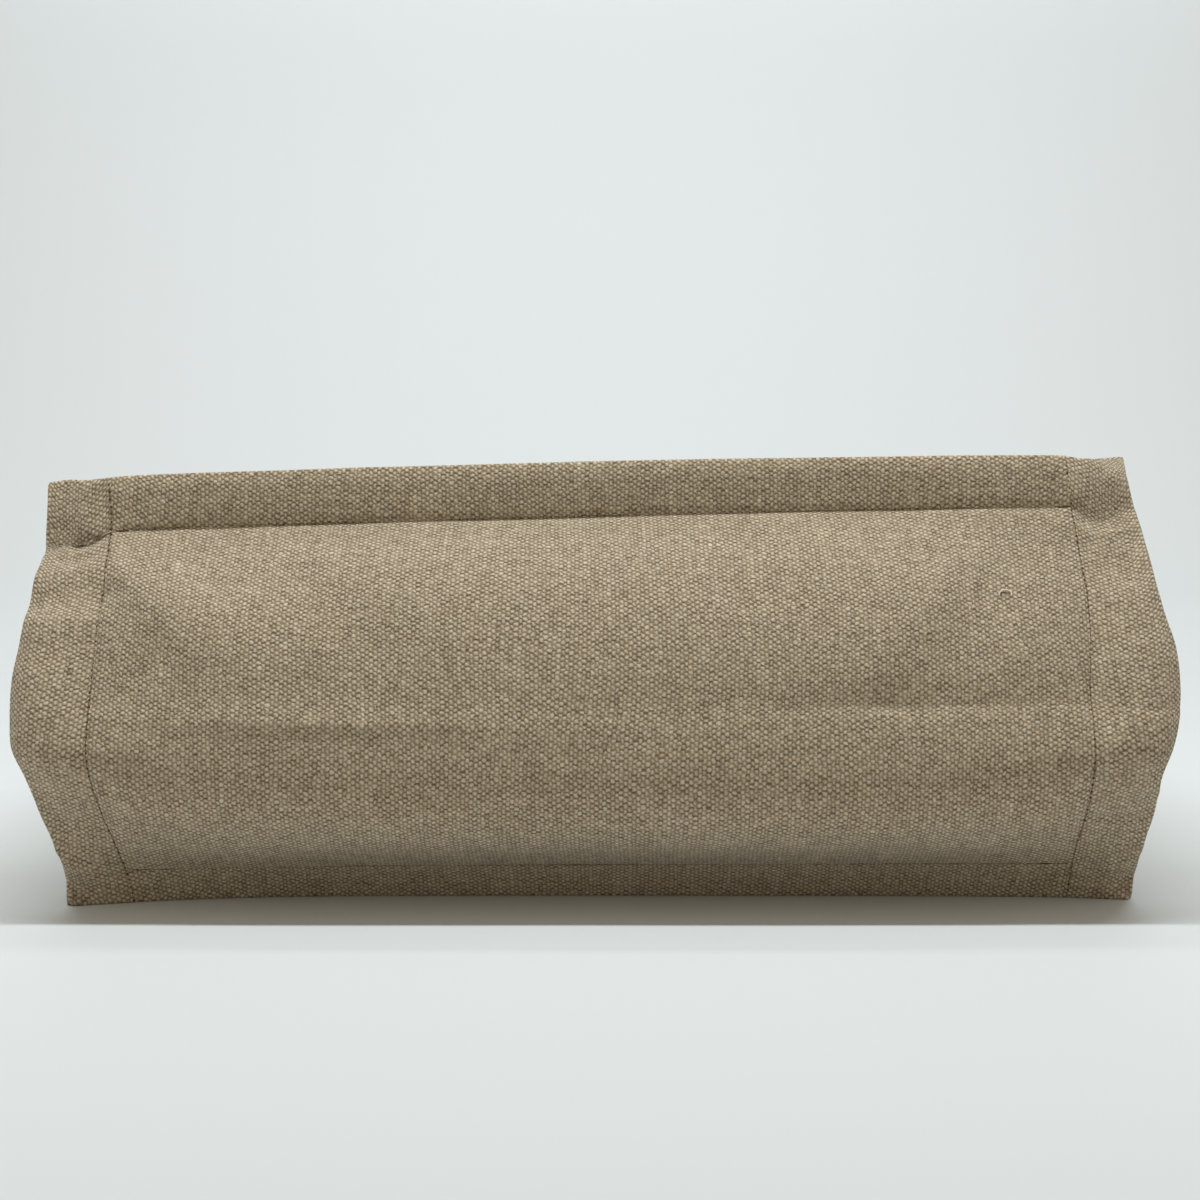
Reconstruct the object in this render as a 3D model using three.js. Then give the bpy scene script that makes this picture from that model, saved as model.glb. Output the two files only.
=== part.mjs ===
// A tote bag of heavy plain-weave cloth, lying on its back with its base standing up at one end.
// Every edge of the base and body is a pinched seam: two layers laid together and stitched through
// a finger's width in from their edges, so that they stand out as a flat flange.
// Millimetres, +Z up, +X along the base, +Y from the base to the mouth.
import * as THREE from 'three';

// Driving sizes of the cloth and the making up
const CLOTH = 1.6;
const PLY_GAP = 0.7;
const FLANGE = 22;
const BASE_HALF = 186.5;
const FRONT_REACH = 326;
const BACK_MOUTH = 384;
const HEM_DEPTH = 30;
const HEM_PLY = 1.6;
const TURN = 2.5;
const EDGE_STEP = 1.2;
const STRAP_WIDTH = 28;
const STRAP_THICK = 3.2;
const STRAP_SPREAD = 75;

// Heights along the cloth of the base panel where it is stitched, folded or bent
const FLOOR_BEND = 8.7;
const LOW_SEAM = 22;
const TOP_SEAM = 190;
const RIDGE = 212;
const CREASED_FROM = 30;

// The middle of the base panel from its lower edge, tucked under, up to the edge of the ridge.
// at is measured along the cloth, back and up place the row, and puff says how round its two ends are.
const BASE_ROWS = [
  { at: 0, back: 52.2, up: 0, puff: 0 },
  { at: 8.7, back: 43.5, up: 0, puff: 0, fold: true },
  { at: 22, back: 35, up: 12, puff: 0 },
  { at: 44, back: 19.4, up: 27, puff: 0 },
  { at: 57, back: 11.3, up: 37, puff: 0 },
  { at: 68, back: 5.7, up: 45.5, puff: 0.1 },
  { at: 77, back: 1.7, up: 53.5, puff: 0.35 },
  { at: 88, back: 0, up: 64, puff: 0.85 },
  { at: 100, back: 5.4, up: 75, puff: 1 },
  { at: 116, back: 13.2, up: 88.5, puff: 1 },
  { at: 131, back: 20.8, up: 102, puff: 0.8 },
  { at: 147, back: 29.4, up: 115.5, puff: 0.35 },
  { at: 165, back: 41, up: 129.8, puff: 0 },
  { at: 190, back: 57.7, up: 148.1, puff: 0, fold: true },
  { at: 212, back: 52, up: 169.7, puff: 0 },
];

// The two ends of the base panel: how far the stitching and the flange's edge lie out from the middle
// and back from the row, how much higher the row is there, and how far the flange's edge droops
const LEFT_END = [
  { at: 0, stitch: 178, edge: 201, stitchBack: -10, edgeBack: -16, lift: 0, droop: 0 },
  { at: 8.7, stitch: 178, edge: 202, stitchBack: -11, edgeBack: -18, lift: 0, droop: 0, fold: true },
  { at: 22, stitch: 179.7, edge: 203, stitchBack: -7, edgeBack: -13, lift: 0, droop: 0 },
  { at: 44, stitch: 182.2, edge: 206.8, stitchBack: -2, edgeBack: 1, lift: 0, droop: 0 },
  { at: 57, stitch: 184.4, edge: 209.8, stitchBack: 0, edgeBack: 5, lift: 0, droop: 0 },
  { at: 68, stitch: 185.6, edge: 211.4, stitchBack: 0, edgeBack: 5, lift: 0, droop: 0 },
  { at: 77, stitch: 186.7, edge: 213.8, stitchBack: 0, edgeBack: 4, lift: 0, droop: 0 },
  { at: 88, stitch: 187.5, edge: 218.7, stitchBack: 0, edgeBack: 2, lift: 0, droop: 0 },
  { at: 100, stitch: 187.8, edge: 220.4, stitchBack: 0, edgeBack: 0, lift: 0, droop: 0 },
  { at: 116, stitch: 188.2, edge: 220.9, stitchBack: 0, edgeBack: -2, lift: 0, droop: 0 },
  { at: 131, stitch: 188.3, edge: 219.6, stitchBack: 0, edgeBack: -2, lift: 0, droop: 0 },
  { at: 147, stitch: 188.3, edge: 218, stitchBack: 0, edgeBack: 1, lift: -0.5, droop: 0 },
  { at: 165, stitch: 188.5, edge: 217.2, stitchBack: 0, edgeBack: 4, lift: -2.5, droop: 0.4 },
  { at: 190, stitch: 189.5, edge: 218, stitchBack: -1, edgeBack: 7, lift: -5.5, droop: 1.6, fold: true },
  { at: 212, stitch: 189.5, edge: 216, stitchBack: 1, edgeBack: 10, lift: -6, droop: 2.7 },
];
const RIGHT_END = [
  { at: 0, stitch: 184, edge: 206.5, stitchBack: -3, edgeBack: -6, lift: 0, droop: 0 },
  { at: 8.7, stitch: 184, edge: 208, stitchBack: -3, edgeBack: -7, lift: 0, droop: 0, fold: true },
  { at: 22, stitch: 183.8, edge: 209.5, stitchBack: -2, edgeBack: -4, lift: 0, droop: 0 },
  { at: 44, stitch: 183.2, edge: 210.6, stitchBack: 0, edgeBack: 4, lift: 0, droop: 0 },
  { at: 57, stitch: 183.9, edge: 212.2, stitchBack: 0, edgeBack: 7, lift: 0, droop: 0 },
  { at: 68, stitch: 184.2, edge: 212.3, stitchBack: 0, edgeBack: 7, lift: 0, droop: 0 },
  { at: 77, stitch: 184.2, edge: 213, stitchBack: 0, edgeBack: 5, lift: 0, droop: 0 },
  { at: 88, stitch: 184.2, edge: 217, stitchBack: 0, edgeBack: 3, lift: 0, droop: 0 },
  { at: 100, stitch: 184.5, edge: 220.3, stitchBack: 0, edgeBack: 0, lift: 0, droop: 0 },
  { at: 116, stitch: 185, edge: 222, stitchBack: 0, edgeBack: -2, lift: 0, droop: 0 },
  { at: 131, stitch: 186.7, edge: 221.4, stitchBack: 0, edgeBack: -2, lift: 0, droop: 0 },
  { at: 147, stitch: 187.5, edge: 217.4, stitchBack: 0, edgeBack: 1, lift: 0.3, droop: 0 },
  { at: 165, stitch: 187.4, edge: 216, stitchBack: 0, edgeBack: 4, lift: 1.5, droop: 0.4 },
  { at: 190, stitch: 186.7, edge: 214.4, stitchBack: -1, edgeBack: 7, lift: 4, droop: 1.4, fold: true },
  { at: 212, stitch: 182.6, edge: 208, stitchBack: 1, edgeBack: 10, lift: 2.4, droop: 2.3 },
];

// How the two ends of the base panel are rounded: where over the flange its roll begins, how far the roll
// turns back at the edge, how far the flange swells before it, and how sharply the panel bends there
const END_ROUND = { from: 0.5, back: 9, swell: 3, sharpness: 4 };

// Soft ridges of the base panel, and troughs where height is negative: where the middle of each lies,
// which way it runs (turn, in degrees from the bag's length), and its half-sizes
const BASE_CREASES = [
  { across: -95, run: 99, turn: -1, long: 95, wide: 7, height: 1.6 },
  { across: 120, run: 109, turn: 1, long: 80, wide: 7, height: -1.6 },
  { across: -158, run: 146, turn: -48, long: 44, wide: 11, height: 2.6 },
  { across: -118, run: 160, turn: -38, long: 50, wide: 14, height: -2.4 },
  { across: 150, run: 150, turn: 52, long: 50, wide: 15, height: -2.2 },
  { across: 118, run: 140, turn: 46, long: 46, wide: 15, height: 1.8 },
  { across: -198, run: 164, turn: 8, long: 20, wide: 7, height: 1.8 },
  { across: -200, run: 150, turn: 10, long: 20, wide: 7, height: -1.8 },
  { across: 200, run: 150, turn: -12, long: 20, wide: 7, height: 1.6 },
  { across: 40, run: 52, turn: 3, long: 110, wide: 13, height: 1.2 },
  { across: -197, run: 202, turn: 60, long: 18, wide: 9, height: 1.2 },
  { across: 198, run: 201, turn: -55, long: 18, wide: 9, height: 1.2 },
];

// The front panel, which is the upper side, from the base seam back to the mouth:
// at is the level distance from the seam, and drop and sideDrop say how far the panel has sunk below it
// at its middle and along its side stitching, half how far out the stitching is, and droop how far
// the flange's edge hangs
const FRONT_ROWS = [
  { at: 0, drop: 0, sideDrop: 0, half: 188.4, droop: 0 },
  { at: 36, drop: 2.5, sideDrop: 1.5, half: 188, droop: 2 },
  { at: 90, drop: 13, sideDrop: 8, half: 187.5, droop: 4 },
  { at: 150, drop: 29, sideDrop: 19, half: 187, droop: 5 },
  { at: 210, drop: 41, sideDrop: 30, half: 186.6, droop: 4 },
  { at: 270, drop: 49, sideDrop: 39, half: 186.5, droop: 3 },
  { at: 326, drop: 52, sideDrop: 46, half: 186.5, droop: 2 },
];
const FRONT_CREASES = [
  { across: -60, run: 118, turn: 7, long: 130, wide: 13, height: -4.5 },
  { across: 100, run: 132, turn: -9, long: 90, wide: 14, height: 4 },
  { across: -132, run: 70, turn: 46, long: 62, wide: 15, height: 4.5 },
  { across: 128, run: 64, turn: -44, long: 62, wide: 15, height: -5 },
  { across: 20, run: 215, turn: 12, long: 100, wide: 20, height: 4 },
  { across: -125, run: 250, turn: -28, long: 60, wide: 18, height: -4 },
  { across: 140, run: 235, turn: 24, long: 55, wide: 18, height: -4 },
];

// Where the front and back panels have come away from the shape of the base's seam, in millimetres
const FRONT_LEVEL = 59;
const FRONT_STEP_DOWN = 2.2;
const FRONT_SETTLED = 60;
const FRONT_CREASED_FROM = 40;
const BACK_SETTLING = { from: 50, to: 130 };

// The way down from the turn at the back panel's seam to the floor: how far on, and the share of the fall
const BACK_SLOPE = [
  { on: 5, fall: 0.42 },
  { on: 10, fall: 0.66 },
  { on: 16, fall: 0.8 },
  { on: 21, fall: 0.92 },
  { on: 27, fall: 1 },
];

// The side panels: how deep each folds inward at the mouth and how far it swells out near the base
const SIDES = [
  { name: 'gusset_left', sign: -1, fold: 62, swell: 9 },
  { name: 'gusset_right', sign: 1, fold: 54, swell: 10 },
];

// Along a side panel from the base (0) to the mouth (1): where it has levelled out, where its swell ends,
// where its stitching has come to the front panel's, where the fold starts, and how rounded the fold is;
// low is where its lower edge has come down to the back panel, from the base's foot
const SIDE_FORM = {
  levelled: 0.35, swellEnds: 0.42, joined: 0.3, foldStarts: 0.25, foldRound: 1.25, low: 78,
};

// One half of each carrying strap, from its sewn end to the middle of its loop, past the mouth.
// above is its height over the floor where it doesn't rest there, and tilt how far it stands on edge.
const BACK_STRAP = [
  { out: -30, x: 75, sewn: true, above: 0, tilt: 0 },
  { out: 2, x: 75, sewn: true, above: 0, tilt: 0 },
  { out: 34, x: 77, above: 0, tilt: 0 },
  { out: 70, x: 84, above: 0, tilt: 12 },
  { out: 108, x: 90, above: 0, tilt: 38 },
  { out: 146, x: 84, above: 0, tilt: 66 },
  { out: 182, x: 58, above: 0, tilt: 84 },
  { out: 196, x: 24, above: 0, tilt: 90 },
  { out: 198, x: 0, above: 0, tilt: 90 },
];
const FRONT_STRAP = [
  { out: -30, x: 75, sewn: true, above: 0, tilt: 0 },
  { out: 0, x: 75, sewn: true, above: 0, tilt: 0 },
  { out: 24, x: 75, above: 84, tilt: 0 },
  { out: 45, x: 73, above: 64, tilt: 0 },
  { out: 60, x: 70, above: 38, tilt: 4 },
  { out: 76, x: 65, above: 15, tilt: 14 },
  { out: 98, x: 58, above: 2, tilt: 34 },
  { out: 124, x: 49, above: 0, tilt: 60 },
  { out: 146, x: 34, above: 0, tilt: 82 },
  { out: 156, x: 14, above: 0, tilt: 90 },
  { out: 157, x: 0, above: 0, tilt: 90 },
];

// How finely the pieces are stepped
const ACROSS_CELLS = 20;
const STRAP_STEPS = 4;
const FLANGE_PLACES = [6, 12, 16.5, 19.5];
const BASE_RUNS = [0, 4.4, 8.7, 15, 22, 31, 44, 54, 64, 74, 84, 90, 96, 102, 108, 116, 126, 136, 147, 158,
  169, 180, 190, 197, 205, 212];
const SIDE_RUNS = [184, 169, 158, 147, 136, 126, 116, 102, 90, 74, 64, 54, 44, 31];
const SIDE_SHARES = [0, 0.03, 0.08, 0.15, 0.24, 0.33, 0.42, 0.51, 0.6, 0.69, 0.78, 0.86];
const FRONT_FLANGE = [205, 197];
const FRONT_BODY = { near: [14, 28], from: 46, cells: 11 };
const BACK_FLANGE = [5, 8.7, 14];
const BACK_BODY = { from: 90, cells: 6 };
const BEFORE_HEM = 16;
const TURN_ANGLES = [45, 90, 135, 180];

// How many places along a side panel its upper and lower flanges are cut away at the base's corners
const CUT_AWAY = { top: 1, low: 4 };

// Small measures of the making: the step over which a slope is taken, the roundness of the turned seams,
// the gap between fins, and the longest reach of a mitre
const STEP = 0.4;
const SLOPE_STEP = 0.5;
const TURN_RADIUS = 1.8;
const NEAR_TURN = 0.7;
const FIN_GAP = 0.3;
const LEAST_MITRE = 0.65;
const FRONT_BEND = { level: 0.28, down: 0.72 };

const { lerp, smoothstep, degToRad } = THREE.MathUtils;

// A column of a table at any place along it, smooth between rows; a row marked fold keeps its corner
function read(rows, place, column) {
  let row = 0;
  while (row < rows.length - 2 && place > rows[row + 1].at) row += 1;
  const gap = rows[row + 1].at - rows[row].at;
  const slope = (k) => (rows[k + 1][column] - rows[k][column]) / (rows[k + 1].at - rows[k].at);
  const here = slope(row);
  const open = (index) => index <= 0 || index >= rows.length - 1 || rows[index].fold;
  const start = open(row) ? here : (slope(row - 1) + here) / 2;
  const end = open(row + 1) ? here : (here + slope(row + 1)) / 2;
  const t = (place - rows[row].at) / gap;
  const rise = rows[row + 1][column] - rows[row][column];
  return rows[row][column] + t * (gap * start
    + t * (3 * rise - gap * (2 * start + end) + t * (gap * (start + end) - 2 * rise)));
}

// Height of the creases at one place of a panel
function creased(creases, across, run) {
  let height = 0;
  for (const crease of creases) {
    const angle = degToRad(crease.turn);
    const dx = across - crease.across;
    const dy = run - crease.run;
    const lengthwise = (dx * Math.cos(angle) + dy * Math.sin(angle)) / crease.long;
    const sideways = (dy * Math.cos(angle) - dx * Math.sin(angle)) / crease.wide;
    height += crease.height * Math.exp(-(lengthwise ** 2) - sideways ** 2);
  }
  return height;
}

// Outer face of the base panel. Past BASE_HALF, across counts on over the side flange.
function baseFace(across, run) {
  const middle = (column, at = run) => read(BASE_ROWS, at, column);
  const end = (column, rows = across < 0 ? LEFT_END : RIGHT_END) => read(rows, run, column);
  const inner = Math.min(Math.abs(across) / BASE_HALF, 1);
  const outer = Math.max(Math.abs(across) - BASE_HALF, 0) / FLANGE;
  const roll = Math.max(outer - END_ROUND.from, 0) / (1 - END_ROUND.from);
  const swell = Math.sin(Math.PI * Math.min(outer, 1));
  const x = end('stitch') * inner + (end('edge') - end('stitch')) * outer;
  const back = middle('back') + end('stitchBack') * inner ** END_ROUND.sharpness
    + (end('edgeBack') - end('stitchBack')) * outer
    + middle('puff') * (END_ROUND.back * roll ** 3 - END_ROUND.swell * swell);
  const level = across / BASE_HALF;
  const left = end('lift', LEFT_END);
  const right = end('lift', RIGHT_END);
  const lift = (right - left) / 2 * level + (right + left) / 2 * level ** 2;
  const up = middle('up') + lift - end('droop') * outer ** 2;
  const rise = new THREE.Vector2(
    middle('back', run + SLOPE_STEP) - middle('back', run - SLOPE_STEP),
    middle('up', run + SLOPE_STEP) - middle('up', run - SLOPE_STEP),
  ).normalize();
  const height = creased(BASE_CREASES, across, run) * smoothstep(run, FLOOR_BEND, CREASED_FROM);
  const z = Math.max(up + rise.x * height, 0);
  return new THREE.Vector3(Math.sign(across) * x, back - rise.y * height, z);
}

// The same face moved into the bag by some depth, square to the cloth on both sides of a fold
function baseLayer(across, run, depth) {
  const here = baseFace(across, run);
  const along = baseFace(across + STEP, run).sub(baseFace(across - STEP, run));
  const below = here.clone().sub(baseFace(across, run - STEP)).cross(along).normalize();
  const above = baseFace(across, run + STEP).sub(here).cross(along).normalize();
  const mitre = depth / (1 + below.dot(above));
  return here.addScaledVector(below.add(above), mitre);
}

const NEXT_LAYER = 1.5 * CLOTH + PLY_GAP;

// Middle of the front panel behind the base seam; along is the level distance from its turn
function frontBody(across, along) {
  const start = baseLayer(across, TOP_SEAM + TURN, NEXT_LAYER);
  const column = (name) => read(FRONT_ROWS, along, name);
  const inner = Math.min(Math.abs(across) / BASE_HALF, 1);
  const outer = Math.max(Math.abs(across) - BASE_HALF, 0) / FLANGE;
  const drop = lerp(column('drop'), column('sideDrop'), inner ** 2) + column('droop') * outer ** 2;
  const settle = smoothstep(along, 0, FRONT_SETTLED);
  const x = lerp(Math.abs(start.x), column('half') * inner + FLANGE * outer, settle);
  const hem = FRONT_REACH - HEM_DEPTH;
  const height = creased(FRONT_CREASES, across, along) * smoothstep(along, 0, FRONT_CREASED_FROM)
    * (1 - smoothstep(along, hem - HEM_DEPTH, hem));
  return new THREE.Vector3(
    Math.sign(across) * x,
    lerp(start.y, FRONT_LEVEL, settle) + TURN + along,
    start.z - FRONT_STEP_DOWN - drop + height,
  );
}

// Middle of the back panel, which is the lower side, from the end of its turn over the tucked-under flange
function backBody(across, y) {
  const inner = Math.min(Math.abs(across) / BASE_HALF, 1);
  const outer = Math.max(Math.abs(across) - BASE_HALF, 0) / FLANGE;
  const start = Math.abs(baseFace(across, LOW_SEAM).x);
  const settle = smoothstep(y, BACK_SETTLING.from, BACK_SETTLING.to);
  const x = lerp(start, BASE_HALF * inner + FLANGE * outer, settle);
  return new THREE.Vector3(Math.sign(across) * x, y, CLOTH / 2);
}

// Closed solid of a sheet from a grid of points (null where the cloth is cut away),
// reaching below and above the grid by the given distances, square to the cloth
function sheetGeometry(grid, below, above) {
  const rows = grid.length;
  const columns = grid[0].length;
  const whole = (i, j) => i >= 0 && j >= 0 && i < rows - 1 && j < columns - 1
    && grid[i][j] && grid[i + 1][j] && grid[i][j + 1] && grid[i + 1][j + 1];
  const cellNormal = (i, j) => new THREE.Vector3().subVectors(grid[i + 1][j + 1], grid[i][j])
    .cross(new THREE.Vector3().subVectors(grid[i][j + 1], grid[i + 1][j])).normalize();
  const positions = [];
  const index = [];
  const place = [[], []];
  for (let i = 0; i < rows; i += 1) {
    place[0].push([]);
    place[1].push([]);
    for (let j = 0; j < columns; j += 1) {
      const around = [[i, j], [i - 1, j], [i, j - 1], [i - 1, j - 1]]
        .filter(([a, b]) => whole(a, b)).map(([a, b]) => cellNormal(a, b));
      if (around.length === 0) continue;
      const normal = around.reduce((sum, each) => sum.add(each), new THREE.Vector3()).normalize();
      const mitre = 1 / Math.max(Math.min(...around.map((each) => each.dot(normal))), LEAST_MITRE);
      [-below(i, j), above(i, j)].forEach((reach, face) => {
        const point = grid[i][j].clone().addScaledVector(normal, reach * mitre);
        place[face][i][j] = positions.length / 3;
        positions.push(point.x, point.y, point.z);
      });
    }
  }
  const quad = (a, b, c, d) => index.push(a, b, c, a, c, d);
  const wall = (a, b, c, d) => quad(place[0][a][b], place[0][c][d], place[1][c][d], place[1][a][b]);
  for (let i = 0; i < rows - 1; i += 1) {
    for (let j = 0; j < columns - 1; j += 1) {
      if (!whole(i, j)) continue;
      const [low, high] = place;
      quad(high[i][j], high[i + 1][j], high[i + 1][j + 1], high[i][j + 1]);
      quad(low[i][j], low[i][j + 1], low[i + 1][j + 1], low[i + 1][j]);
      if (!whole(i, j - 1)) wall(i, j, i + 1, j);
      if (!whole(i, j + 1)) wall(i + 1, j + 1, i, j + 1);
      if (!whole(i - 1, j)) wall(i, j + 1, i, j);
      if (!whole(i + 1, j)) wall(i + 1, j, i + 1, j + 1);
    }
  }
  const geometry = new THREE.BufferGeometry();
  geometry.setAttribute('position', new THREE.Float32BufferAttribute(positions, 3));
  geometry.setIndex(index);
  return geometry;
}

// Even steps from one place to another, with both ends
function steps(from, to, count) {
  return Array.from({ length: count + 1 }, (_, k) => lerp(from, to, k / count));
}

// Half the cloth's thickness, with the ply of the turned-in hem between a panel's flanges
function withHem(grid, flangeRows) {
  const hemmed = grid[0].length - 3;
  const inside = (i) => i > flangeRows && i < grid.length - 1 - flangeRows;
  return (i, j) => CLOTH / 2 + (j >= hemmed && inside(i) ? HEM_PLY : 0);
}

// Places across a panel: its two flanges and the cloth between the two rows of stitching
function acrossPlaces(trim) {
  const flange = [...FLANGE_PLACES, FLANGE - trim].map((place) => BASE_HALF + place);
  const mirrored = flange.map((place) => -place).reverse();
  return [...mirrored, ...steps(-BASE_HALF, BASE_HALF, ACROSS_CELLS), ...flange];
}

function basePanel() {
  const grid = acrossPlaces(0).map((across) => BASE_RUNS.map((run) => baseFace(across, run)));
  return sheetGeometry(grid, () => CLOTH, () => 0);
}

// Places along a panel's cloth through its turned-in hem, from a line before the hem to the mouth
function hemPlaces(from, cells, mouth) {
  const hem = mouth - HEM_DEPTH;
  return [...steps(from, hem - BEFORE_HEM, cells), hem - STEP, hem, hem + HEM_DEPTH / 2, mouth];
}

// The front panel: its flange behind the ridge, a bend, and the body back to the turned-in hem
function frontPanel() {
  const flange = [RIDGE - EDGE_STEP, ...FRONT_FLANGE, TOP_SEAM + TURN];
  const body = [TURN, ...FRONT_BODY.near, ...hemPlaces(FRONT_BODY.from, FRONT_BODY.cells, FRONT_REACH)];
  const grid = acrossPlaces(EDGE_STEP).map((across) => {
    const layers = flange.map((run) => baseLayer(across, run, NEXT_LAYER));
    const end = layers[layers.length - 1];
    const next = frontBody(across, TURN);
    const bend = new THREE.Vector3(
      (end.x + next.x) / 2,
      lerp(end.y, next.y, FRONT_BEND.level),
      lerp(end.z, next.z, FRONT_BEND.down),
    );
    return [...layers, bend, ...body.map((along) => frontBody(across, along))];
  });
  return sheetGeometry(grid, withHem(grid, FLANGE_PLACES.length + 1), () => CLOTH / 2);
}

// The back panel: its flange above the tucked-under edge of the base, a turn back over that flange,
// a slope down to the floor, and the body to the turned-in hem
function backPanel() {
  const flange = [EDGE_STEP, ...BACK_FLANGE, LOW_SEAM - TURN];
  const body = hemPlaces(BACK_BODY.from, BACK_BODY.cells, BACK_MOUTH);
  const grid = acrossPlaces(EDGE_STEP).map((across) => {
    const layers = flange.map((run) => baseLayer(across, run, NEXT_LAYER));
    const end = layers[layers.length - 1];
    const forward = baseLayer(across, LOW_SEAM, NEXT_LAYER).sub(end).normalize();
    const inward = baseLayer(across, LOW_SEAM - TURN, NEXT_LAYER + 1).sub(end);
    const centre = end.clone().addScaledVector(inward, TURN_RADIUS);
    const turn = TURN_ANGLES.map((turned) => centre.clone()
      .addScaledVector(forward, TURN_RADIUS * Math.sin(degToRad(turned)))
      .addScaledVector(inward, -TURN_RADIUS * Math.cos(degToRad(turned))));
    const top = turn[turn.length - 1];
    const landing = BACK_SLOPE.map(({ on, fall }) => {
      const floor = backBody(across, top.y + on);
      return new THREE.Vector3(lerp(top.x, floor.x, fall), top.y + on, lerp(top.z, floor.z, fall));
    });
    return [...layers, ...turn, ...landing, ...body.map((y) => backBody(across, y))];
  });
  return sheetGeometry(grid, () => CLOTH / 2, withHem(grid, FLANGE_PLACES.length + 1));
}

// One side panel. Its rows go from the flange under the front panel down to the flange on the back
// panel, its columns from the flange behind the base back to the mouth. The flanges' corners are cut away.
function sidePanel({ sign, fold, swell }) {
  const first = SIDE_RUNS[0];
  const last = SIDE_RUNS[SIDE_RUNS.length - 1];
  const reach = FRONT_REACH - TURN;
  const hem = 1 - HEM_DEPTH / reach;
  const shares = [...SIDE_SHARES, hem - STEP / reach, hem, hem + HEM_DEPTH / reach / 2, 1];
  const flange = [FLANGE - EDGE_STEP, ...[...FLANGE_PLACES].reverse()];
  const seamAt = (run, outer = 0) => baseLayer(sign * (BASE_HALF + outer), run, NEXT_LAYER);
  const lowest = seamAt(last);

  // A point against the underside of the front panel, or on top of the back panel
  const underFront = (share, outer) => {
    const point = frontBody(sign * (BASE_HALF + outer), TURN + share * reach);
    return point.setZ(point.z - CLOTH - PLY_GAP - FIN_GAP);
  };
  const onBack = (share, outer) => {
    const y = lerp(lowest.y + TURN, BACK_MOUTH, share);
    const point = backBody(sign * (BASE_HALF + outer), y);
    return point.setZ(lerp(lowest.z, NEXT_LAYER, smoothstep(y, lowest.y, SIDE_FORM.low)));
  };

  // The panel between its rows of stitching: level with the base's seam at first,
  // then evenly spread, swelling outward a little and folding inward towards the mouth
  const body = (run, share) => {
    const part = (first - run) / (first - last);
    const seam = seamAt(run);
    const top = underFront(share, 0);
    const low = onBack(share, 0);
    const fallen = lerp(top.z - underFront(0, 0).z, low.z - lowest.z, part);
    const spread = lerp(top.z - TURN, low.z + TURN, part);
    const z = lerp(seam.z + fallen, spread, smoothstep(share, 0, SIDE_FORM.levelled));
    const y = lerp(seam.y + TURN, lerp(underFront(1, 0).y, BACK_MOUTH, part), share);
    const swollen = Math.sin(Math.PI * Math.min(share / SIDE_FORM.swellEnds, 1));
    const bulge = swell * Math.sin(Math.PI * part) * swollen;
    const middle = 1 - Math.abs(2 * part - 1);
    const tuck = fold * smoothstep(share, SIDE_FORM.foldStarts, 1) * middle ** SIDE_FORM.foldRound;
    const x = lerp(Math.abs(seam.x), Math.abs(top.x), smoothstep(share, 0, SIDE_FORM.joined));
    return new THREE.Vector3(sign * (x + bulge - tuck), y, z);
  };

  // Flange rows above and below the body, from their edge in to the turn at the stitching
  const outers = [FLANGE - EDGE_STEP, ...FLANGE_PLACES.slice(0, 2).reverse(), NEAR_TURN];
  const before = flange.length + 1;
  const lead = (count) => Array.from({ length: count }, () => null);
  const edgeRow = (edgeAt, side, skipped, outer) => {
    const points = shares.slice(skipped).map((share) => {
      const point = edgeAt(share, outer);
      return outer > NEAR_TURN ? point : point.setZ(point.z + side * NEAR_TURN);
    });
    return [...lead(before + skipped), ...points];
  };
  const bodyRow = (run) => {
    const seam = seamAt(run);
    const turn = new THREE.Vector3(seam.x + sign * NEAR_TURN, seam.y + NEAR_TURN, seam.z);
    return [...flange.map((outer) => seamAt(run, outer)), turn, ...shares.map((share) => body(run, share))];
  };
  const grid = [
    ...outers.map((outer) => edgeRow(underFront, -1, CUT_AWAY.top, outer)),
    ...SIDE_RUNS.map(bodyRow),
    ...[...outers].reverse().map((outer) => edgeRow(onBack, 1, CUT_AWAY.low, outer)),
  ];
  const inside = withHem(grid, outers.length);
  const outside = () => CLOTH / 2;
  return sign > 0 ? sheetGeometry(grid, inside, outside) : sheetGeometry(grid, outside, inside);
}

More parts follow.
